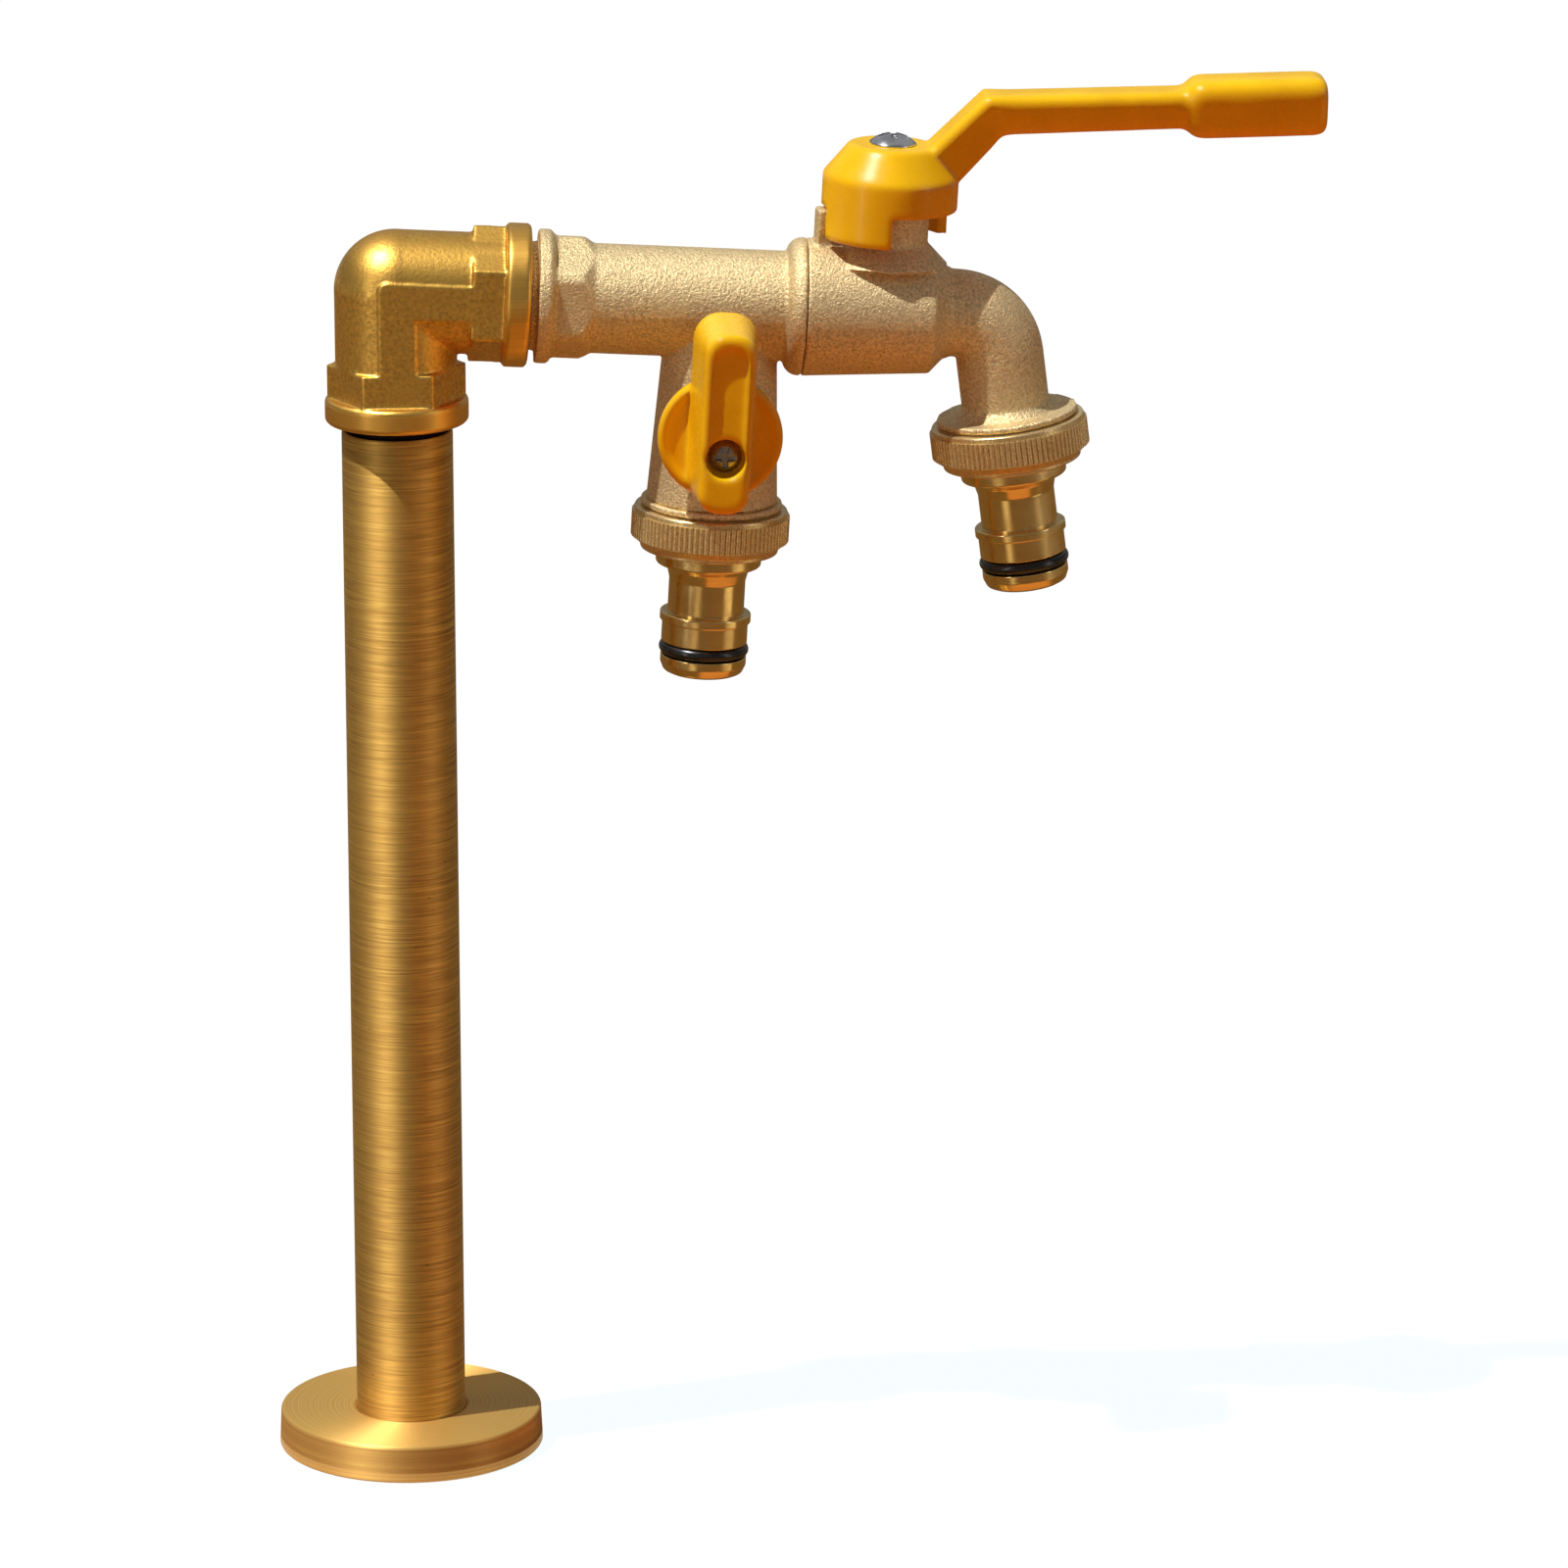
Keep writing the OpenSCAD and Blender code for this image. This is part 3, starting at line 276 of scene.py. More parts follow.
def lathe(outline, place, segments, thread=None):
    """Turns a closed outline of (r, z) about z. thread(r, z, turn) may move a point's r."""
    shell = bmesh.new()
    rings = []
    for r, z in outline:
        if r < 1e-7:
            rings.append([shell.verts.new(place @ Vector((0, 0, z)))] * segments)
            continue
        ring = []
        for k in range(segments):
            turn = k / segments
            reach = thread(r, z, turn) if thread else r
            angle = 2 * math.pi * turn
            ring.append(shell.verts.new(
                place @ Vector((reach * math.cos(angle), reach * math.sin(angle), z))))
        rings.append(ring)
    for i, ring in enumerate(rings):
        after = rings[(i + 1) % len(rings)]
        for k in range(segments):
            m = (k + 1) % segments
            corners = list(dict.fromkeys([ring[k], ring[m], after[m], after[k]]))
            if len(corners) > 2:
                shell.faces.new(corners)
    bmesh.ops.recalc_face_normals(shell, faces=shell.faces)
    mesh = bpy.data.meshes.new("turned")
    shell.to_mesh(mesh)
    shell.free()
    mesh.shade_smooth()
    return mesh


def threaded(crest, root, pitch, z_from, z_to):
    """Moves the points between two levels onto a screw thread from crest to root."""
    def move(r, z, turn):
        if not z_from < z < z_to or abs(r - crest) > 0.001 * MM:
            return r
        phase = (z / pitch - turn) % 1
        wave = abs(2 * phase - 1)
        ease = min(1, (z - z_from) / pitch, (z_to - z) / pitch)
        share = min(1, max(0, 1.6 * wave - 0.3)) * ease
        return crest + (root - crest) * share
    return move


def levels(z_from, z_to, step):
    """Even levels between two ends, without the ends, about a step apart."""
    count = max(1, round(abs(z_to - z_from) / step))
    return [z_from + (z_to - z_from) * i / count for i in range(1, count)]


# Materials

def node(tree, kind, inputs=None, **settings):
    """Adds a node, sets its properties, and sets or links its sockets."""
    made = tree.nodes.new(kind)
    for key, value in settings.items():
        setattr(made, key, value)
    for socket, value in (inputs or {}).items():
        if isinstance(value, bpy.types.NodeSocket):
            tree.links.new(value, made.inputs[socket])
        else:
            made.inputs[socket].default_value = value
    return made


def in_mm(points):
    """Points given in millimetres, in metres."""
    return [tuple(value * MM for value in point) for point in points]


def rgba(colour, share=1.0):
    """A shader colour, lightened or darkened by a share."""
    return (*[min(1.0, c * share) for c in colour[:3]], 1.0)


def bare_tree(block):
    """The emptied node tree of a new material or world."""
    block.use_nodes = True
    block.node_tree.nodes.clear()
    return block.node_tree


def new_material(name):
    """A material with its tree, its surface shader and its Object coordinates."""
    material = bpy.data.materials.new(name)
    tree = bare_tree(material)
    shader = node(tree, "ShaderNodeBsdfPrincipled")
    node(tree, "ShaderNodeOutputMaterial", {"Surface": shader.outputs[0]})
    where = node(tree, "ShaderNodeTexCoord")
    return material, tree, shader, where.outputs["Object"]


def noise(tree, vector, size, detail=2.0, rough=0.5, stretch=(1, 1, 1), tilt=0.0):
    """Noise whose blotches are size metres wide, stretched along some axes."""
    placed = node(tree, "ShaderNodeMapping", {
        "Vector": vector, "Rotation": (0, tilt, 0),
        "Scale": tuple(1 / (size * s) for s in stretch)})
    return node(tree, "ShaderNodeTexNoise", {
        "Vector": placed.outputs[0], "Scale": 1.0, "Detail": detail, "Roughness": rough,
    }).outputs["Fac"]


def spread(tree, value, low, high, to_low, to_high):
    """Maps a value's range low..high onto another."""
    return node(tree, "ShaderNodeMapRange", {
        "Value": value, "From Min": low, "From Max": high,
        "To Min": to_low, "To Max": to_high}).outputs[0]


def blend(tree, share, low, high):
    """A colour between low and high by a share that a socket gives."""
    mix = node(tree, "ShaderNodeMix", {"Factor": share}, data_type="RGBA")
    for socket, value in ((6, low), (7, high)):
        if isinstance(value, bpy.types.NodeSocket):
            tree.links.new(value, mix.inputs[socket])
        else:
            mix.inputs[socket].default_value = value
    return mix.outputs[2]


def bump(tree, height, depth, strength=1.0, under=None):
    """A normal with a relief of the given depth, over the normal under it."""
    inputs = {"Height": height, "Distance": depth, "Strength": strength}
    if under:
        inputs["Normal"] = under
    return node(tree, "ShaderNodeBump", inputs).outputs[0]


def link(tree, shader, **sockets):
    """Links sources to the shader's sockets, whose names have _ for a space."""
    for name, source in sockets.items():
        tree.links.new(source, shader.inputs[name.replace("_", " ")])


def brushed_brass(name, colour, tilt=0.0, line=0.32 * MM):
    """Drawn brass tube, brushed while it turned: fine lines run round it, broken every
    few millimetres, with darker streaks and a few pits."""
    material, tree, shader, where = new_material(name)
    lines = noise(tree, where, line, 3.0, 0.6, (40, 40, 1), tilt)
    streaks = noise(tree, where, 1.1 * MM, 2.0, 0.5, (22, 22, 1), tilt)
    clouds = noise(tree, where, 16 * MM, 2.0, 0.5, (1, 1, 2.5), tilt)
    pits = node(tree, "ShaderNodeTexVoronoi", {
        "Vector": where, "Scale": 1 / (5.5 * MM), "Randomness": 1.0}).outputs["Distance"]
    fine = blend(tree, spread(tree, lines, 0.32, 0.68, 0, 1),
                 rgba(colour, 0.52), rgba(colour, 1.2))
    wide = blend(tree, spread(tree, streaks, 0.3, 0.7, 0, 0.45), fine, rgba(colour, 0.72))
    aged = blend(tree, spread(tree, clouds, 0.35, 0.7, 0, 0.3), wide, rgba(colour, 1.2))
    spots = spread(tree, pits, 0.028, 0.045, 0.8, 0)
    link(tree, shader, Base_Color=blend(tree, spots, aged, rgba(colour, 0.25)),
         Roughness=spread(tree, lines, 0.3, 0.7, 0.74, 0.6),
         Normal=bump(tree, lines, 0.035 * MM, 0.55))
    shader.inputs["Metallic"].default_value = 1.0
    shader.inputs["Anisotropic"].default_value = 0.78
    shader.inputs["Anisotropic Rotation"].default_value = 0.25
    return material


def cast_brass(name, colour, grain, depth, low, high, metal=1.0):
    """Sand-cast brass, blasted with shot: small rounded dimples over the whole skin,
    with painted shade in their floors and a painted highlight on their rims, and a dull sparkle on their rims."""
    material, tree, shader, where = new_material(name)
    dimples = noise(tree, where, grain, 3.0, 0.62)
    fine = noise(tree, where, grain * 0.45, 2.0, 0.5)
    clouds = noise(tree, where, 9 * MM, 2.0, 0.5)
    # The dimples' colour is painted shade in their floors and a painted highlight on their rims, following the
    # bump
    dimple_shade = blend(tree, spread(tree, dimples, 0.34, 0.62, 0, 1),
                 rgba(colour, 0.6), rgba(colour, 1.12))
    tone = blend(tree, spread(tree, clouds, 0.35, 0.68, 0, 0.4), dimple_shade, rgba(colour, 0.86))
    link(tree, shader, Base_Color=tone,
         Roughness=spread(tree, dimples, 0.3, 0.7, high, low),
         Normal=bump(tree, dimples, depth, 0.9, bump(tree, fine, depth * 0.4, 0.7)))
    shader.inputs["Metallic"].default_value = metal
    return material


def turned_brass(name, colour, tilt=0.0, low=0.16, high=0.28):
    """Brass turned on a lathe and polished: close rings round its axis, a few of them
    deeper, under a bright surface that mirrors what is round it."""
    material, tree, shader, where = new_material(name)
    rings = noise(tree, where, 0.22 * MM, 2.0, 0.5, (300, 300, 1), tilt)
    haze = noise(tree, where, 5 * MM, 2.0, 0.5)
    tone = blend(tree, spread(tree, rings, 0.3, 0.7, 0, 1),
                 rgba(colour, 0.88), rgba(colour, 1.08))
    link(tree, shader, Base_Color=blend(
        tree, spread(tree, haze, 0.4, 0.7, 0, 0.35), tone, rgba(colour, 0.8)),
        Roughness=spread(tree, haze, 0.3, 0.7, low, high),
        Normal=bump(tree, rings, 0.012 * MM, 0.35))
    shader.inputs["Metallic"].default_value = 1.0
    return material


def faced_brass(name, colour):
    """Brass faced on a lathe: rings about the riser's axis on a flat, with the arcs that
    the tool left, and brushed round its rim."""
    material, tree, shader, where = new_material(name)
    parts = node(tree, "ShaderNodeSeparateXYZ", {"Vector": where})
    flat = node(tree, "ShaderNodeCombineXYZ", {"X": parts.outputs[0], "Y": parts.outputs[1]})
    reach = node(tree, "ShaderNodeVectorMath", {0: flat.outputs[0]}, operation="LENGTH")
    place = node(tree, "ShaderNodeCombineXYZ", {
        "X": reach.outputs["Value"], "Y": parts.outputs[2]})
    wobble = noise(tree, where, 14 * MM, 1.0)
    rings = node(tree, "ShaderNodeTexNoise", {
        "Vector": node(tree, "ShaderNodeVectorMath", {
            0: place.outputs[0], 1: (1 / (0.3 * MM), 1 / (0.4 * MM), 1)},
            operation="MULTIPLY").outputs[0],
        "Scale": 1.0, "Detail": 2.0}).outputs["Fac"]
    tone = blend(tree, spread(tree, rings, 0.3, 0.7, 0, 1),
                 rgba(colour, 0.7), rgba(colour, 1.18))
    link(tree, shader, Base_Color=blend(
        tree, spread(tree, wobble, 0.35, 0.7, 0, 0.35), tone, rgba(colour, 0.85)),
        Roughness=spread(tree, rings, 0.3, 0.7, 0.62, 0.5),
        Normal=bump(tree, rings, 0.04 * MM, 0.5))
    shader.inputs["Metallic"].default_value = 0.65
    shader.inputs["Anisotropic"].default_value = 0.8
    shader.inputs["Anisotropic Rotation"].default_value = 0.25
    return material


def powder_coat(name, colour):
    """Die-cast zinc under a thick amber powder coat: a soft gloss over a faint orange
    peel, with round edges, a little deeper in colour where the coat has flowed thick."""
    material, tree, shader, where = new_material(name)
    peel = noise(tree, where, 1.3 * MM, 2.0, 0.5)
    flow = noise(tree, where, 11 * MM, 2.0, 0.5)
    link(tree, shader, Base_Color=blend(
        tree, spread(tree, flow, 0.35, 0.68, 0, 1), rgba(colour, 0.9),
        rgba(colour, 1.04)),
        Roughness=spread(tree, peel, 0.3, 0.7, 0.24, 0.32),
        Normal=bump(tree, peel, 0.03 * MM, 0.25, node(
            tree, "ShaderNodeBevel", {"Radius": 2.0 * MM}, samples=6).outputs[0]))
    shader.inputs["Coat Weight"].default_value = 0.1
    shader.inputs["Coat Roughness"].default_value = 0.06
    shader.inputs["Specular IOR Level"].default_value = 0.3
    shader.inputs["IOR"].default_value = 1.5
    return material


def plated(name, code, low, high, grain=2 * MM):
    """A plated steel or brass surface: an even metal colour with a slight haze."""
    material, tree, shader, where = new_material(name)
    colour = linear(code)
    haze = noise(tree, where, grain, 3.0, 0.55)
    link(tree, shader, Base_Color=blend(
        tree, spread(tree, haze, 0.35, 0.65, 0, 1), rgba(colour, 0.85), rgba(colour, 1.1)),
        Roughness=spread(tree, haze, 0.3, 0.7, low, high),
        Normal=bump(tree, haze, 0.008 * MM, 0.4))
    shader.inputs["Metallic"].default_value = 1.0
    return material


def moulded(name, code, low, high, grain, depth, shine=0.5):
    """Rubber, plastic or fibre pressed in a mould: even colour, faintly mottled."""
    material, tree, shader, where = new_material(name)
    colour = linear(code)
    mottle = noise(tree, where, grain, 3.0, 0.6)
    link(tree, shader, Base_Color=blend(
        tree, spread(tree, mottle, 0.35, 0.65, 0, 1), rgba(colour, 0.85), rgba(colour, 1.15)),
        Roughness=spread(tree, mottle, 0.3, 0.7, low, high),
        Normal=bump(tree, mottle, depth, 0.5))
    shader.inputs["Specular IOR Level"].default_value = shine
    return material


def tilt_of(out):
    """The turn about Y that brings a leaning outlet's axis onto Z."""
    return math.atan2(out.x, -out.z)


def kept_node(name, material):
    """Gives a node of the frame, which stays as it is, its material."""
    mesh = frame["nodes"][name].data
    mesh.materials.clear()
    mesh.materials.append(material)


# Pieces

class STANDPIPE_OT_riser(bpy.types.Operator):
    """Turn the foot flange and the riser, with the supply thread in its lower end"""

    bl_idname = "standpipe.riser"
    bl_label = "Foot and riser"

    def execute(self, context):
        sizes, colours = context.scene.standpipe_sizes, context.scene.standpipe_colours
        foot_r, _, foot_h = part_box("base_flange")[1]
        pipe_r, _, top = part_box("riser_pipe")[1]
        clear = 0.06 * MM
        flange = lathe(rounded([
            (pipe_r + clear, 0), (foot_r, 0, 0.5 * MM),
            (foot_r - 0.35 * MM, foot_h, 0.7 * MM), (pipe_r + 0.6 * MM, foot_h, 0.1 * MM),
            (pipe_r + clear, foot_h - 0.6 * MM, 0.1 * MM)], 0.1 * MM, 5),
            Matrix(), sizes.segments)
        finished("foot_flange_faced", flange, "standpipe",
                 [faced_brass("Faced brass", colours.tube)], ["base_flange"])

        supply = MOUNTS["supply_thread"]["dims"]
        supply_r, supply_len = supply["r_mm"] * MM, supply["length_mm"] * MM
        pitch, thread_depth = 1.337 * MM, 0.75 * MM
        bore_r, groove_r, thread_r = 6.5 * MM, 9.12 * MM, 10.42 * MM
        face = ELBOW_CENTRE.z - ELBOW_LEG
        shoulder = face - JOINT_GAP
        outline = [(supply_r, 0), (pipe_r, 0, 0.2 * MM),
                   (pipe_r, shoulder, 0.55 * MM), (groove_r, shoulder, 0.1 * MM),
                   (groove_r, face, 0.1 * MM), (thread_r, face + 1.3 * MM, 0.1 * MM),
                   (thread_r, top - 0.5 * MM, 0.1 * MM), (thread_r - 0.5 * MM, top, 0.1 * MM),
                   (bore_r, top, 0.1 * MM), (bore_r, supply_len, 0.1 * MM)]
        outline = rounded(outline, 0.05 * MM, 4)
        outline += [(supply_r, supply_len)]
        outline += [(supply_r, z) for z in levels(supply_len, 0, pitch / 8)]
        tube = lathe(outline, Matrix(), sizes.segments,
                     threaded(supply_r, supply_r - thread_depth, pitch, 0.1 * MM, supply_len))
        finished("riser_tube_brushed", tube, "standpipe",
                 [brushed_brass("Brushed brass tube", colours.tube),
                  moulded("Painted groove shade", "#1d1712", 0.6, 0.75, MM, 0.02 * MM, 0.2)],
                 ["riser_pipe"])
        # The relief groove under the elbow's mouth and the thread above it take the near-black material: painted
        # shade for the deep shadow in the groove
        for polygon in tube.polygons:
            at = polygon.center
            if bore_r + MM < at.xy.length < pipe_r - 0.6 * MM and at.z > shoulder - MM:
                polygon.material_index = 1
        return {"FINISHED"}


class STANDPIPE_OT_castings(bpy.types.Operator):
    """Give the elbow and both halves of the tap's body their cast skins"""

    bl_idname = "standpipe.castings"
    bl_label = "Castings"

    def execute(self, context):
        sizes, colours = context.scene.standpipe_sizes, context.scene.standpipe_colours
        satin = cast_brass("Satin cast brass", colours.elbow, 0.8 * MM, 0.07 * MM, 0.34, 0.48)
        blasted = cast_brass(
            "Shot-blasted cast brass", colours.casting, 0.55 * MM, 0.34 * MM, 0.42, 0.6, 0.7)
        machined = turned_brass("Machined ring brass", colours.elbow, 0.0, 0.34, 0.44)
        elbow = soft_skin("elbow", sizes.cast_mesh * 0.9, 2, 0.7)
        finished("elbow_casting", elbow, "standpipe",
                 [satin, machined], ["elbow"])
        ring_from = ELBOW_LEG - 4.9 * MM
        mouths = (Vector((0, 0, -1)), ALONG)
        for polygon in elbow.polygons:
            reach = max((polygon.center - ELBOW_CENTRE).dot(way) for way in mouths)
            if reach > ring_from:
                polygon.material_index = 1
        for name, node_name, mesh_size, rounds, keep in (
                ("tap_rear_casting", "tap_rear_body", sizes.cast_mesh, 3, 0.6),
                ("tap_front_casting", "tap_front_body", sizes.cast_mesh, 3, 0.7),
                ("branch_insert_turned", "branch_insert", 0.3 * MM, 2, 0.6)):
            skin = soft_skin(node_name, mesh_size, rounds, keep)
            finished(name, skin, "standpipe", [blasted], [node_name])
        return {"FINISHED"}


class STANDPIPE_OT_handles(bpy.types.Operator):
    """Coat the lever and the knob, and give them their screws"""

    bl_idname = "standpipe.handles"
    bl_label = "Handles"

    def execute(self, context):
        sizes, colours = context.scene.standpipe_sizes, context.scene.standpipe_colours
        coat = powder_coat("Amber powder coat", colours.coat)
        zinc = plated("Bright zinc plate", "#cfd2d8", 0.12, 0.24)
        dark = plated("Blackened zinc", "#a09689", 0.2, 0.36)
        lever = soft_skin("lever_handle", sizes.coat_mesh, 9)
        tip = max(vertex.co.x for vertex in lever.vertices) - HUB.x
        past_knee, ease, at_tip = 21 * MM, 4 * MM, 0.25

        def on_arm(point):
            """0 at the hub and the knee, 1 along the arm and the grip, less at the tip."""
            run = point.x - HUB.x
            return min(1, max(0, (run - past_knee) / ease),
                       at_tip + max(0, (tip - run - MM) / ease))

        lever = softened(lever, on_arm, sizes.arm_rounds)
        finished("lever_handle_coated", lever, "lever", [coat], ["lever_handle"])
        knob = soft_skin("branch_knob", sizes.coat_mesh * 0.8, 6)
        finished("branch_knob_coated", knob, "knob", [coat], ["branch_knob"])
        for name, body, slot, metal in (
                ("lever_screw", "lever", "zinc_screw", zinc),
                ("knob_screw", "knob", "dark_screw", dark)):
            skin = soft_skin(name, sizes.screw_mesh, 3)
            finished(name + "_plated", skin, body, [metal], [name])
        return {"FINISHED"}


def flute_tree(metal):
    """Geometry nodes: rounded flutes stood round a turned blank, then made real."""
    tree = bpy.data.node_groups.new("Knurled band", "GeometryNodeTree")
    face = tree.interface
    face.new_socket("Blank", in_out="INPUT", socket_type="NodeSocketGeometry")
    sockets = {}
    for name, kind in (("Flutes", "NodeSocketInt"), ("Radius", "NodeSocketFloat"),
                       ("Depth", "NodeSocketFloat"), ("Width", "NodeSocketFloat"),
                       ("Height", "NodeSocketFloat"), ("Level", "NodeSocketFloat")):
        sockets[name] = face.new_socket(name, in_out="INPUT", socket_type=kind).identifier
    face.new_socket("Nut", in_out="OUTPUT", socket_type="NodeSocketGeometry")
    given = node(tree, "NodeGroupInput").outputs
    circle = node(tree, "GeometryNodeMeshCircle", {
        "Vertices": given["Flutes"], "Radius": given["Radius"]})
    lift = node(tree, "ShaderNodeCombineXYZ", {"Z": given["Level"]})
    stand = node(tree, "GeometryNodeSetPosition", {
        "Geometry": circle.outputs[0], "Offset": lift.outputs[0]})
    bar = node(tree, "GeometryNodeMeshCylinder", {
        "Vertices": 12, "Radius": 1.0, "Depth": given["Height"]})
    shape = node(tree, "ShaderNodeCombineXYZ", {
        "X": given["Depth"], "Y": given["Width"], "Z": 1.0})
    section = node(tree, "GeometryNodeTransform", {
        "Geometry": bar.outputs["Mesh"], "Scale": shape.outputs[0]})
    place = node(tree, "GeometryNodeInputPosition")
    parts = node(tree, "ShaderNodeSeparateXYZ", {"Vector": place.outputs[0]})
    outward = node(tree, "ShaderNodeCombineXYZ", {
        "X": parts.outputs[0], "Y": parts.outputs[1]})
    turn = node(tree, "FunctionNodeAlignEulerToVector", {
        "Vector": outward.outputs[0]}, axis="X", pivot_axis="Z")
    copies = node(tree, "GeometryNodeInstanceOnPoints", {
        "Points": stand.outputs[0], "Instance": section.outputs[0],
        "Rotation": turn.outputs[0]})
    joined = node(tree, "GeometryNodeJoinGeometry")
    tree.links.new(given["Blank"], joined.inputs[0])
    tree.links.new(copies.outputs[0], joined.inputs[0])
    real = node(tree, "GeometryNodeRealizeInstances", {"Geometry": joined.outputs[0]})
    painted = node(tree, "GeometryNodeSetMaterial", {
        "Geometry": real.outputs[0], "Material": metal})
    node(tree, "NodeGroupOutput", {"Nut": painted.outputs[0]})
    return tree, sockets


class STANDPIPE_OT_nuts(bpy.types.Operator):
    """Turn and knurl the two coupling nuts"""

    bl_idname = "standpipe.nuts"
    bl_label = "Coupling nuts"

    def execute(self, context):
        sizes, colours = context.scene.standpipe_sizes, context.scene.standpipe_colours
        metal = cast_brass(
            "Knurled brass", colours.knurl, 0.45 * MM, 0.02 * MM, 0.24, 0.36, 0.75)
        tree, sockets = flute_tree(metal)
        top, end, crest, bore, mouth = (v * MM for v in (0.35, 8.95, 15.7, 13.22, 10.6))
        rim = crest - 0.5 * MM
        valley = crest - sizes.flute_depth
        lip = 7.0 * MM
        blank = rounded([
            (bore, top, 0.15 * MM), (rim, top, 0.5 * MM), (rim, top + 1.0 * MM, 0.12 * MM),
            (valley, top + 1.1 * MM, 0.05 * MM), (valley, end - 2.35 * MM, 0.05 * MM),
            (rim, end - 2.25 * MM, 0.12 * MM), (rim - 1.5 * MM, end - 0.75 * MM, 0.15 * MM),
            (rim - 1.5 * MM, end, 0.25 * MM), (mouth, end, 0.15 * MM),
            (mouth, lip, 0.1 * MM), (bore, lip, 0.1 * MM)], 0.1 * MM, 4)
        for name, place in OUTLETS.items():
            work = workpiece(name, lathe(blank, Matrix(), sizes.segments))
            modifier = modify(work, "NODES", node_group=tree)
            band_from, band_to = top + 1.15 * MM, end - 2.4 * MM
            for key, value in (
                    ("Flutes", sizes.flutes), ("Radius", valley),
                    ("Depth", sizes.flute_depth),
                    ("Width", 0.46 * 2 * math.pi * crest / sizes.flutes),
                    ("Height", band_to - band_from), ("Level", (band_from + band_to) / 2)):
                modifier[sockets[key]] = value
            nut = applied(work, name + "_nut_knurled")
            nut.transform(place)
            nut.set_sharp_from_angle(angle=math.radians(50))
            finished(name + "_nut_knurled", nut, name + "_coupling",
                     [metal], [name + "_nut"])
        return {"FINISHED"}


class STANDPIPE_OT_tails(bpy.types.Operator):
    """Turn the two hose tails and seat their rubber rings"""

    bl_idname = "standpipe.tails"
    bl_label = "Hose tails"

    def execute(self, context):
        sizes, colours = context.scene.standpipe_sizes, context.scene.standpipe_colours
        rubber = moulded("Nitrile rubber", "#161514", 0.2, 0.32, 1.2 * MM, 0.01 * MM, 0.6)
        outline = rounded(in_mm([
            (5.2, 6.2), (12.6, 6.2), (12.6, 7.4), (10.5, 7.4),
            (10.5, 12.05, 0.9), (8.9, 12.05, 0.1), (8.1, 13.1, 1.0), (7.6, 15.1, 1.5),
            (7.6, 21.8, 0.1), (9.05, 21.8, 0.35), (9.05, 23.6, 0.25),
            (8.55, 23.7, 0.1), (8.55, 27.9, 0.2), (6.45, 27.9, 0.1), (6.45, 30.6, 0.1),
            (8.55, 30.6, 0.2), (8.55, 32.3, 0.6), (7.9, 33.8, 0.8), (6.84, 34.3, 0.5),
            (5.2, 34.3, 0.3)]), sizes.turned_edge, 5)
        ring_level, ring_r, ring_thick = 29.25 * MM, 7.71 * MM, 1.25 * MM
        circle = [(ring_r + ring_thick * math.cos(a), ring_level + ring_thick * math.sin(a))
                  for a in (2 * math.pi * k / 28 for k in range(28))]
        for name, place in OUTLETS.items():
            brass = turned_brass(
                f"Polished turned brass {name}", colours.turned,
                tilt_of(-Vector(place.col[2][:3])))
            tail = lathe(outline, place, sizes.segments)
            finished(name + "_tail_turned", tail, "standpipe",
                     [brass], [name + "_tail"])
            ring = lathe(circle, place, sizes.segments // 2)
            finished(name + "_tail_oring_moulded", ring, "standpipe",
                     [rubber], [name + "_tail_oring"])
            kept_node(name + "_washer",
                      moulded(f"Nitrile washer {name}", "#1c1b1a", 0.4, 0.5, MM, 0.01 * MM))
        return {"FINISHED"}


class STANDPIPE_OT_inner_parts(bpy.types.Operator):
    """Give the balls, stems, seats and seals inside the body their finishes"""

    bl_idname = "standpipe.inner_parts"
    bl_label = "Inner parts"

    def execute(self, context):
        colours = context.scene.standpipe_colours
        brass = turned_brass("Turned stem brass", colours.turned)
        chrome = plated("Chrome plate", "#dfe2e6", 0.05, 0.1, 4 * MM)
        rubber = moulded("Nitrile seal", "#171615", 0.3, 0.4, MM, 0.01 * MM)
        white = moulded("Sintered PTFE", "#f1f1ec", 0.42, 0.52, 0.8 * MM, 0.02 * MM)
        fibre = moulded("Vulcanised fibre", "#a04436", 0.6, 0.72, 0.4 * MM, 0.03 * MM, 0.3)
        for material, names in (
                (brass, ("main_stem", "branch_stem")),
                (chrome, ("main_ball", "branch_ball")),
                (rubber, ("main_stem_orings", "branch_stem_oring")),
                (white, ("main_seat_rear", "main_seat_front", "branch_seat_upper",
                         "branch_seat_lower", "main_thrust_washer", "branch_thrust_washer")),
                (fibre, ("body_joint_seal",))):
            for name in names:
                kept_node(name, material)
        return {"FINISHED"}


def sun(name, strength, spread_angle, towards):
    """A sun lamp that shines from the given direction."""
    lamp = bpy.data.lights.new(name, "SUN")
    lamp.energy = strength
    lamp.angle = spread_angle
    holder = bpy.data.objects.new(name, lamp)
    holder.rotation_euler = Vector(towards).to_track_quat("Z", "Y").to_euler()
    bpy.context.scene.collection.objects.link(holder)
    return holder


def panel(name, strength, size, at, target):
    """A soft rectangular lamp that faces a target and shows only in what shines."""
    lamp = bpy.data.lights.new(name, "AREA")
    lamp.shape = "RECTANGLE"
    lamp.size, lamp.size_y = size
    lamp.energy = strength
    holder = bpy.data.objects.new(name, lamp)
    holder.location = at
    holder.rotation_euler = (Vector(at) - Vector(target)).to_track_quat("Z", "Y").to_euler()
    holder.visible_diffuse = False
    bpy.context.scene.collection.objects.link(holder)
    return holder


def sheet(name, area, level):
    """A level rectangle over (x_from, x_to, y_from, y_to), in the scene."""
    left, right, near, far = area
    mesh = bpy.data.meshes.new(name)
    mesh.from_pydata([(left, near, level), (right, near, level), (right, far, level),
                      (left, far, level)], [], [(0, 1, 2, 3)])
    made = bpy.data.objects.new(name, mesh)
    bpy.context.scene.collection.objects.link(made)
    return made


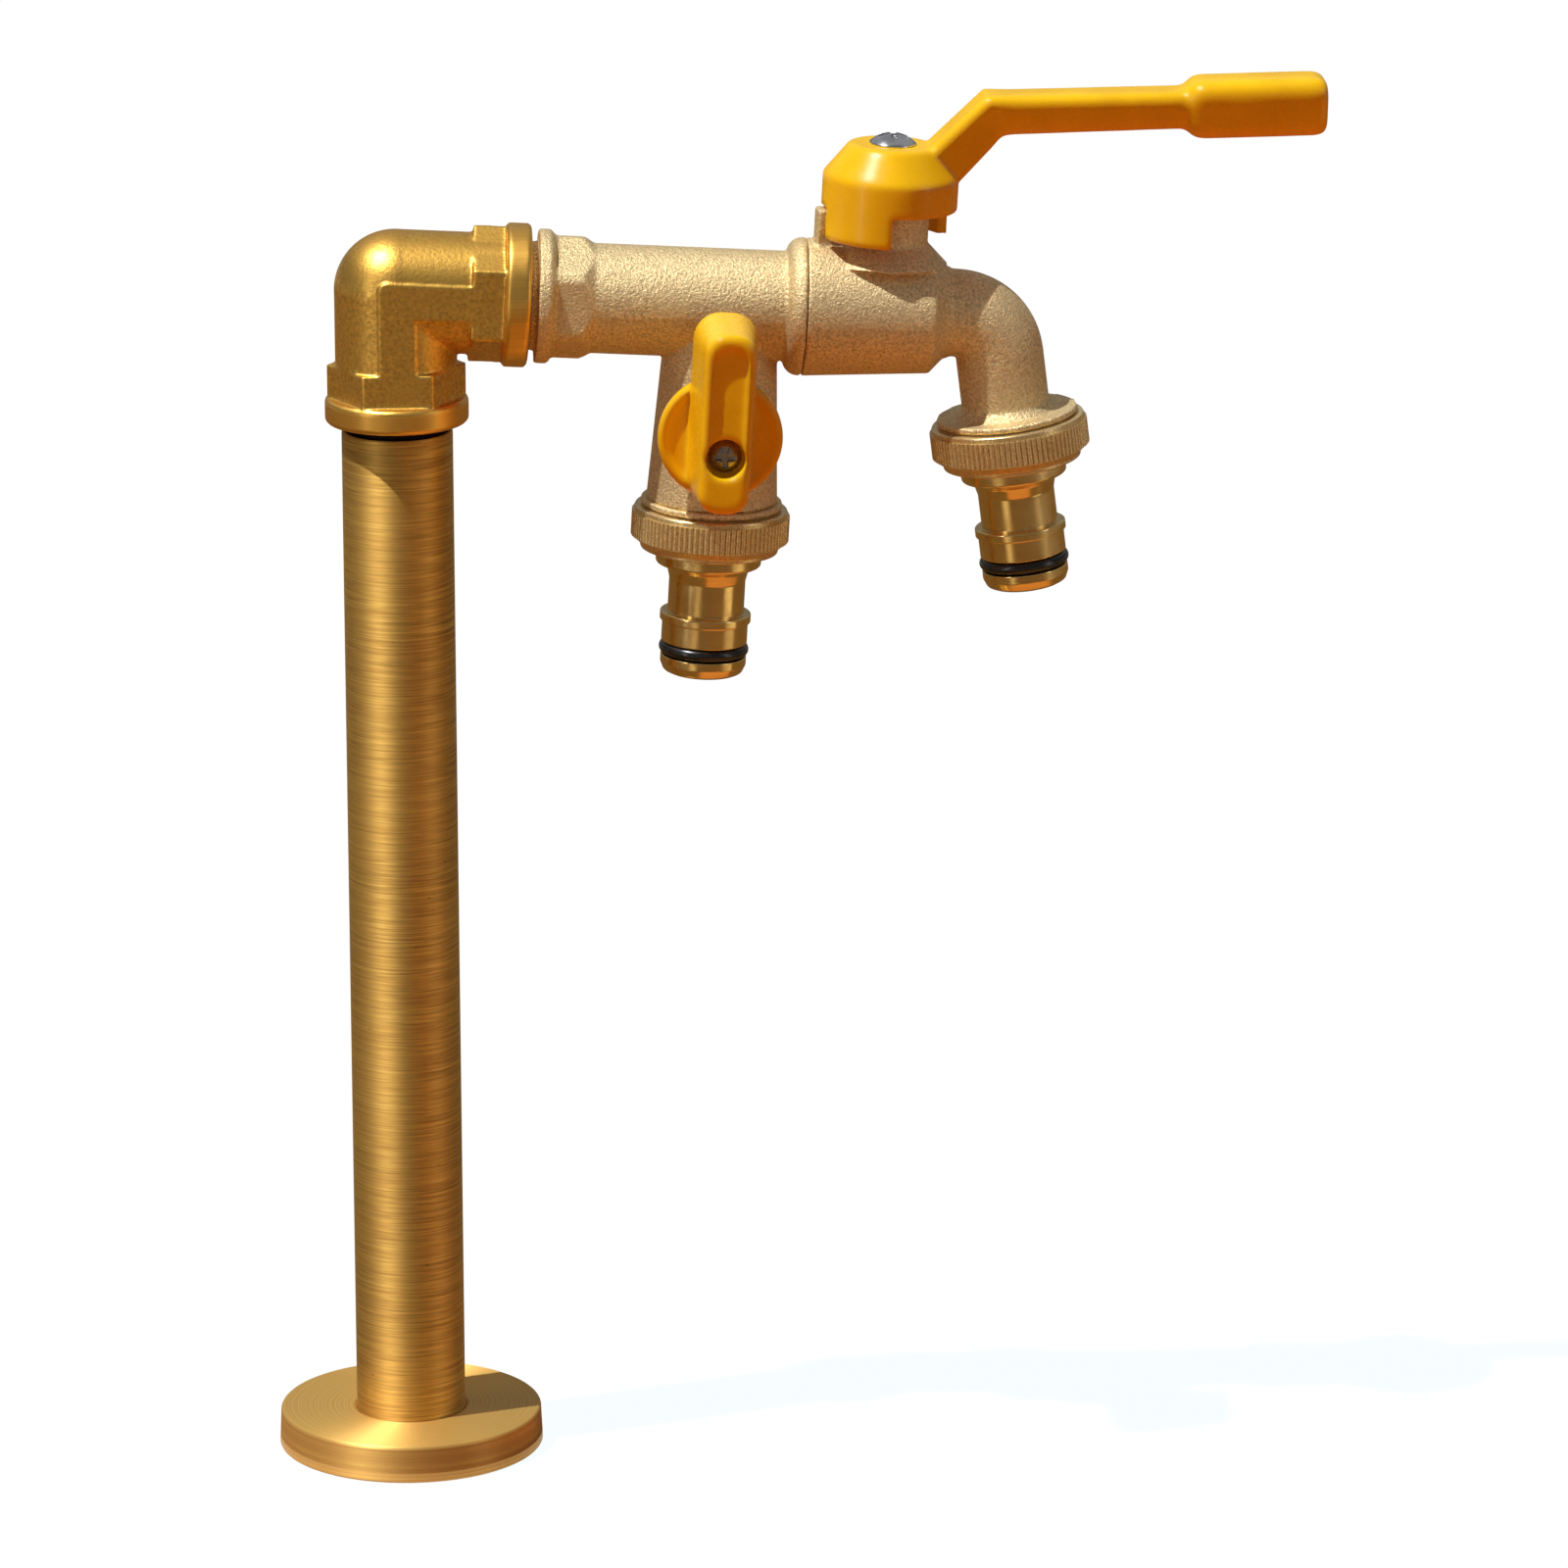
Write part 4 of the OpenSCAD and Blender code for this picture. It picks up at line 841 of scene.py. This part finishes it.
class STANDPIPE_OT_stage(bpy.types.Operator):
    """Set the floor, the sky, the lamps and the camera"""

    bl_idname = "standpipe.stage"
    bl_label = "Stage"

    def execute(self, context):
        scene = context.scene
        stage, colours = scene.standpipe_stage, scene.standpipe_colours
        self.camera(scene)
        self.floor(colours.floor)
        for name, code, level, area in (
                ("brown card", "#6b5339", 2 * MM, (-2.2, 2.4, -2.4, -0.3)),
                ("ochre card", "#705736", 2 * MM, (-2.2, 2.4, -0.3, 2.2)),
                ("amber card", "#c8894e", 3 * MM, (0.03, 0.32, -0.34, 0.05)),
                ("pale card right", "#f2deb8", 3 * MM, (0.52, 0.82, -0.42, -0.1)),
                ("pale card left", "#f2deb8", 3 * MM, (-0.36, -0.18, -0.7, -0.38))):
            self.card(name, code, sheet(name, area, level))
        self.sky(scene, stage.sky)
        flat = math.cos(stage.key_height)
        sun("key_sun", stage.key, math.radians(0.8), (
            -flat * math.cos(stage.key_side), -flat * math.sin(stage.key_side),
            math.sin(stage.key_height)))
        middle = (0.08, 0.0, 0.15)
        panel("left_panel", 1.2, (0.12, 0.9), (-0.75, -0.65, 0.45), middle)
        panel("right_panel", 0.8, (0.2, 0.8), (0.95, -0.45, 0.5), middle)
        panel("back_panel", stage.back, (2.6, 2.0), (0.08, 0.75, 1.25), middle)
        scene.view_settings.view_transform = "Standard"
        return {"FINISHED"}

    @staticmethod
    def camera(scene):
        """The camera looks down by 15.7 degrees, a little from the left, through a long
        lens, and leans 0.14 degrees."""
        turn, height, lean = (math.radians(v) for v in (-3.637, 15.71, -0.138))
        away = 1770.6 * MM
        # The lens in pixels of the frame's width
        lens, width = 9025, 1600
        target = Vector((76.35 * MM, 0, 137.0 * MM))
        back = Vector((math.sin(turn) * math.cos(height),
                       -math.cos(turn) * math.cos(height), math.sin(height)))
        view = bpy.data.cameras.new("camera")
        view.sensor_width = 36.0
        view.lens = view.sensor_width * lens / width
        view.clip_start, view.clip_end = 0.05, 20.0
        holder = bpy.data.objects.new("camera", view)
        holder.matrix_world = (
            Matrix.Translation(target + away * back)
            @ back.to_track_quat("Z", "Y").to_matrix().to_4x4()
            @ Matrix.Rotation(lean, 4, "Z"))
        scene.collection.objects.link(holder)
        scene.camera = holder

    @staticmethod
    def floor(colour):
        """A wide floor that the camera sees white and the object sees as warm ground. It
        keeps the object's shadow."""
        reach = 4.0
        glow_share, glow_strength = 0.85, 1.18
        # The warm ground adds the rest, so that the sum is white
        glow_colour = (0.924, 0.984, 1.0, 1.0)
        floor = sheet("floor", (-reach, reach, -reach, reach), 0)
        material = bpy.data.materials.new("White floor on warm ground")
        tree = bare_tree(material)
        path = node(tree, "ShaderNodeLightPath").outputs
        seen = node(tree, "ShaderNodeMath", {
            0: path["Is Camera Ray"], 1: path["Is Glossy Ray"]}, operation="MAXIMUM")
        seen = node(tree, "ShaderNodeMath", {
            0: seen.outputs[0], 1: path["Is Transmission Ray"]}, operation="MAXIMUM")
        share = node(tree, "ShaderNodeMath", {0: seen.outputs[0], 1: glow_share},
                     operation="MULTIPLY")
        matt = node(tree, "ShaderNodeBsdfDiffuse", {"Color": rgba(colour)})
        white = node(tree, "ShaderNodeEmission", {
            "Color": glow_colour, "Strength": glow_strength})
        both = node(tree, "ShaderNodeMixShader", {
            "Fac": share.outputs[0], 1: matt.outputs[0], 2: white.outputs[0]})
        node(tree, "ShaderNodeOutputMaterial", {"Surface": both.outputs[0]})
        floor.data.materials.append(material)

    @staticmethod
    def card(name, code, card):
        """Paints a card that lies on the floor and only shows in what mirrors it: warm
        ground for the brass, as a photographer's flag gives."""
        material = bpy.data.materials.new(name)
        tree = bare_tree(material)
        matt = node(tree, "ShaderNodeBsdfDiffuse", {"Color": rgba(linear(code))})
        node(tree, "ShaderNodeOutputMaterial", {"Surface": matt.outputs[0]})
        card.data.materials.append(material)
        card.visible_camera = card.visible_shadow = card.visible_diffuse = False

    @staticmethod
    def sky(scene, strength):
        """An even white sky."""
        world = bpy.data.worlds.new("sky")
        tree = bare_tree(world)
        light = node(tree, "ShaderNodeBackground", {
            "Color": (1, 1, 1, 1), "Strength": strength})
        node(tree, "ShaderNodeOutputWorld", {"Surface": light.outputs[0]})
        scene.world = world


class STANDPIPE_PT_panel(bpy.types.Panel):
    """Lists the standpipe's operators and settings"""

    bl_label = "Garden standpipe"
    bl_space_type = "VIEW_3D"
    bl_region_type = "UI"
    bl_category = "Standpipe"

    def draw(self, context):
        for operator in OPERATORS:
            self.layout.operator(operator.bl_idname)
        for group in ("standpipe_sizes", "standpipe_colours", "standpipe_stage"):
            settings = getattr(context.scene, group)
            for name in settings.__annotations__:
                self.layout.prop(settings, name)


GROUPS = (
    (StandpipeSizes, "standpipe_sizes"),
    (StandpipeColours, "standpipe_colours"),
    (StandpipeStage, "standpipe_stage"),
)
OPERATORS = (
    STANDPIPE_OT_stage, STANDPIPE_OT_riser, STANDPIPE_OT_castings, STANDPIPE_OT_handles,
    STANDPIPE_OT_nuts, STANDPIPE_OT_tails, STANDPIPE_OT_inner_parts,
)


def register():
    for group, name in GROUPS:
        bpy.utils.register_class(group)
        setattr(bpy.types.Scene, name, PointerProperty(type=group))
    for kind in (*OPERATORS, STANDPIPE_PT_panel):
        bpy.utils.register_class(kind)


def unregister():
    for kind in (STANDPIPE_PT_panel, *reversed(OPERATORS)):
        bpy.utils.unregister_class(kind)
    for group, name in reversed(GROUPS):
        delattr(bpy.types.Scene, name)
        bpy.utils.unregister_class(group)


def main():
    register()
    bpy.ops.standpipe.stage()
    bpy.ops.standpipe.riser()
    bpy.ops.standpipe.castings()
    bpy.ops.standpipe.handles()
    bpy.ops.standpipe.nuts()
    bpy.ops.standpipe.tails()
    bpy.ops.standpipe.inner_parts()


if __name__ == "__main__":
    main()
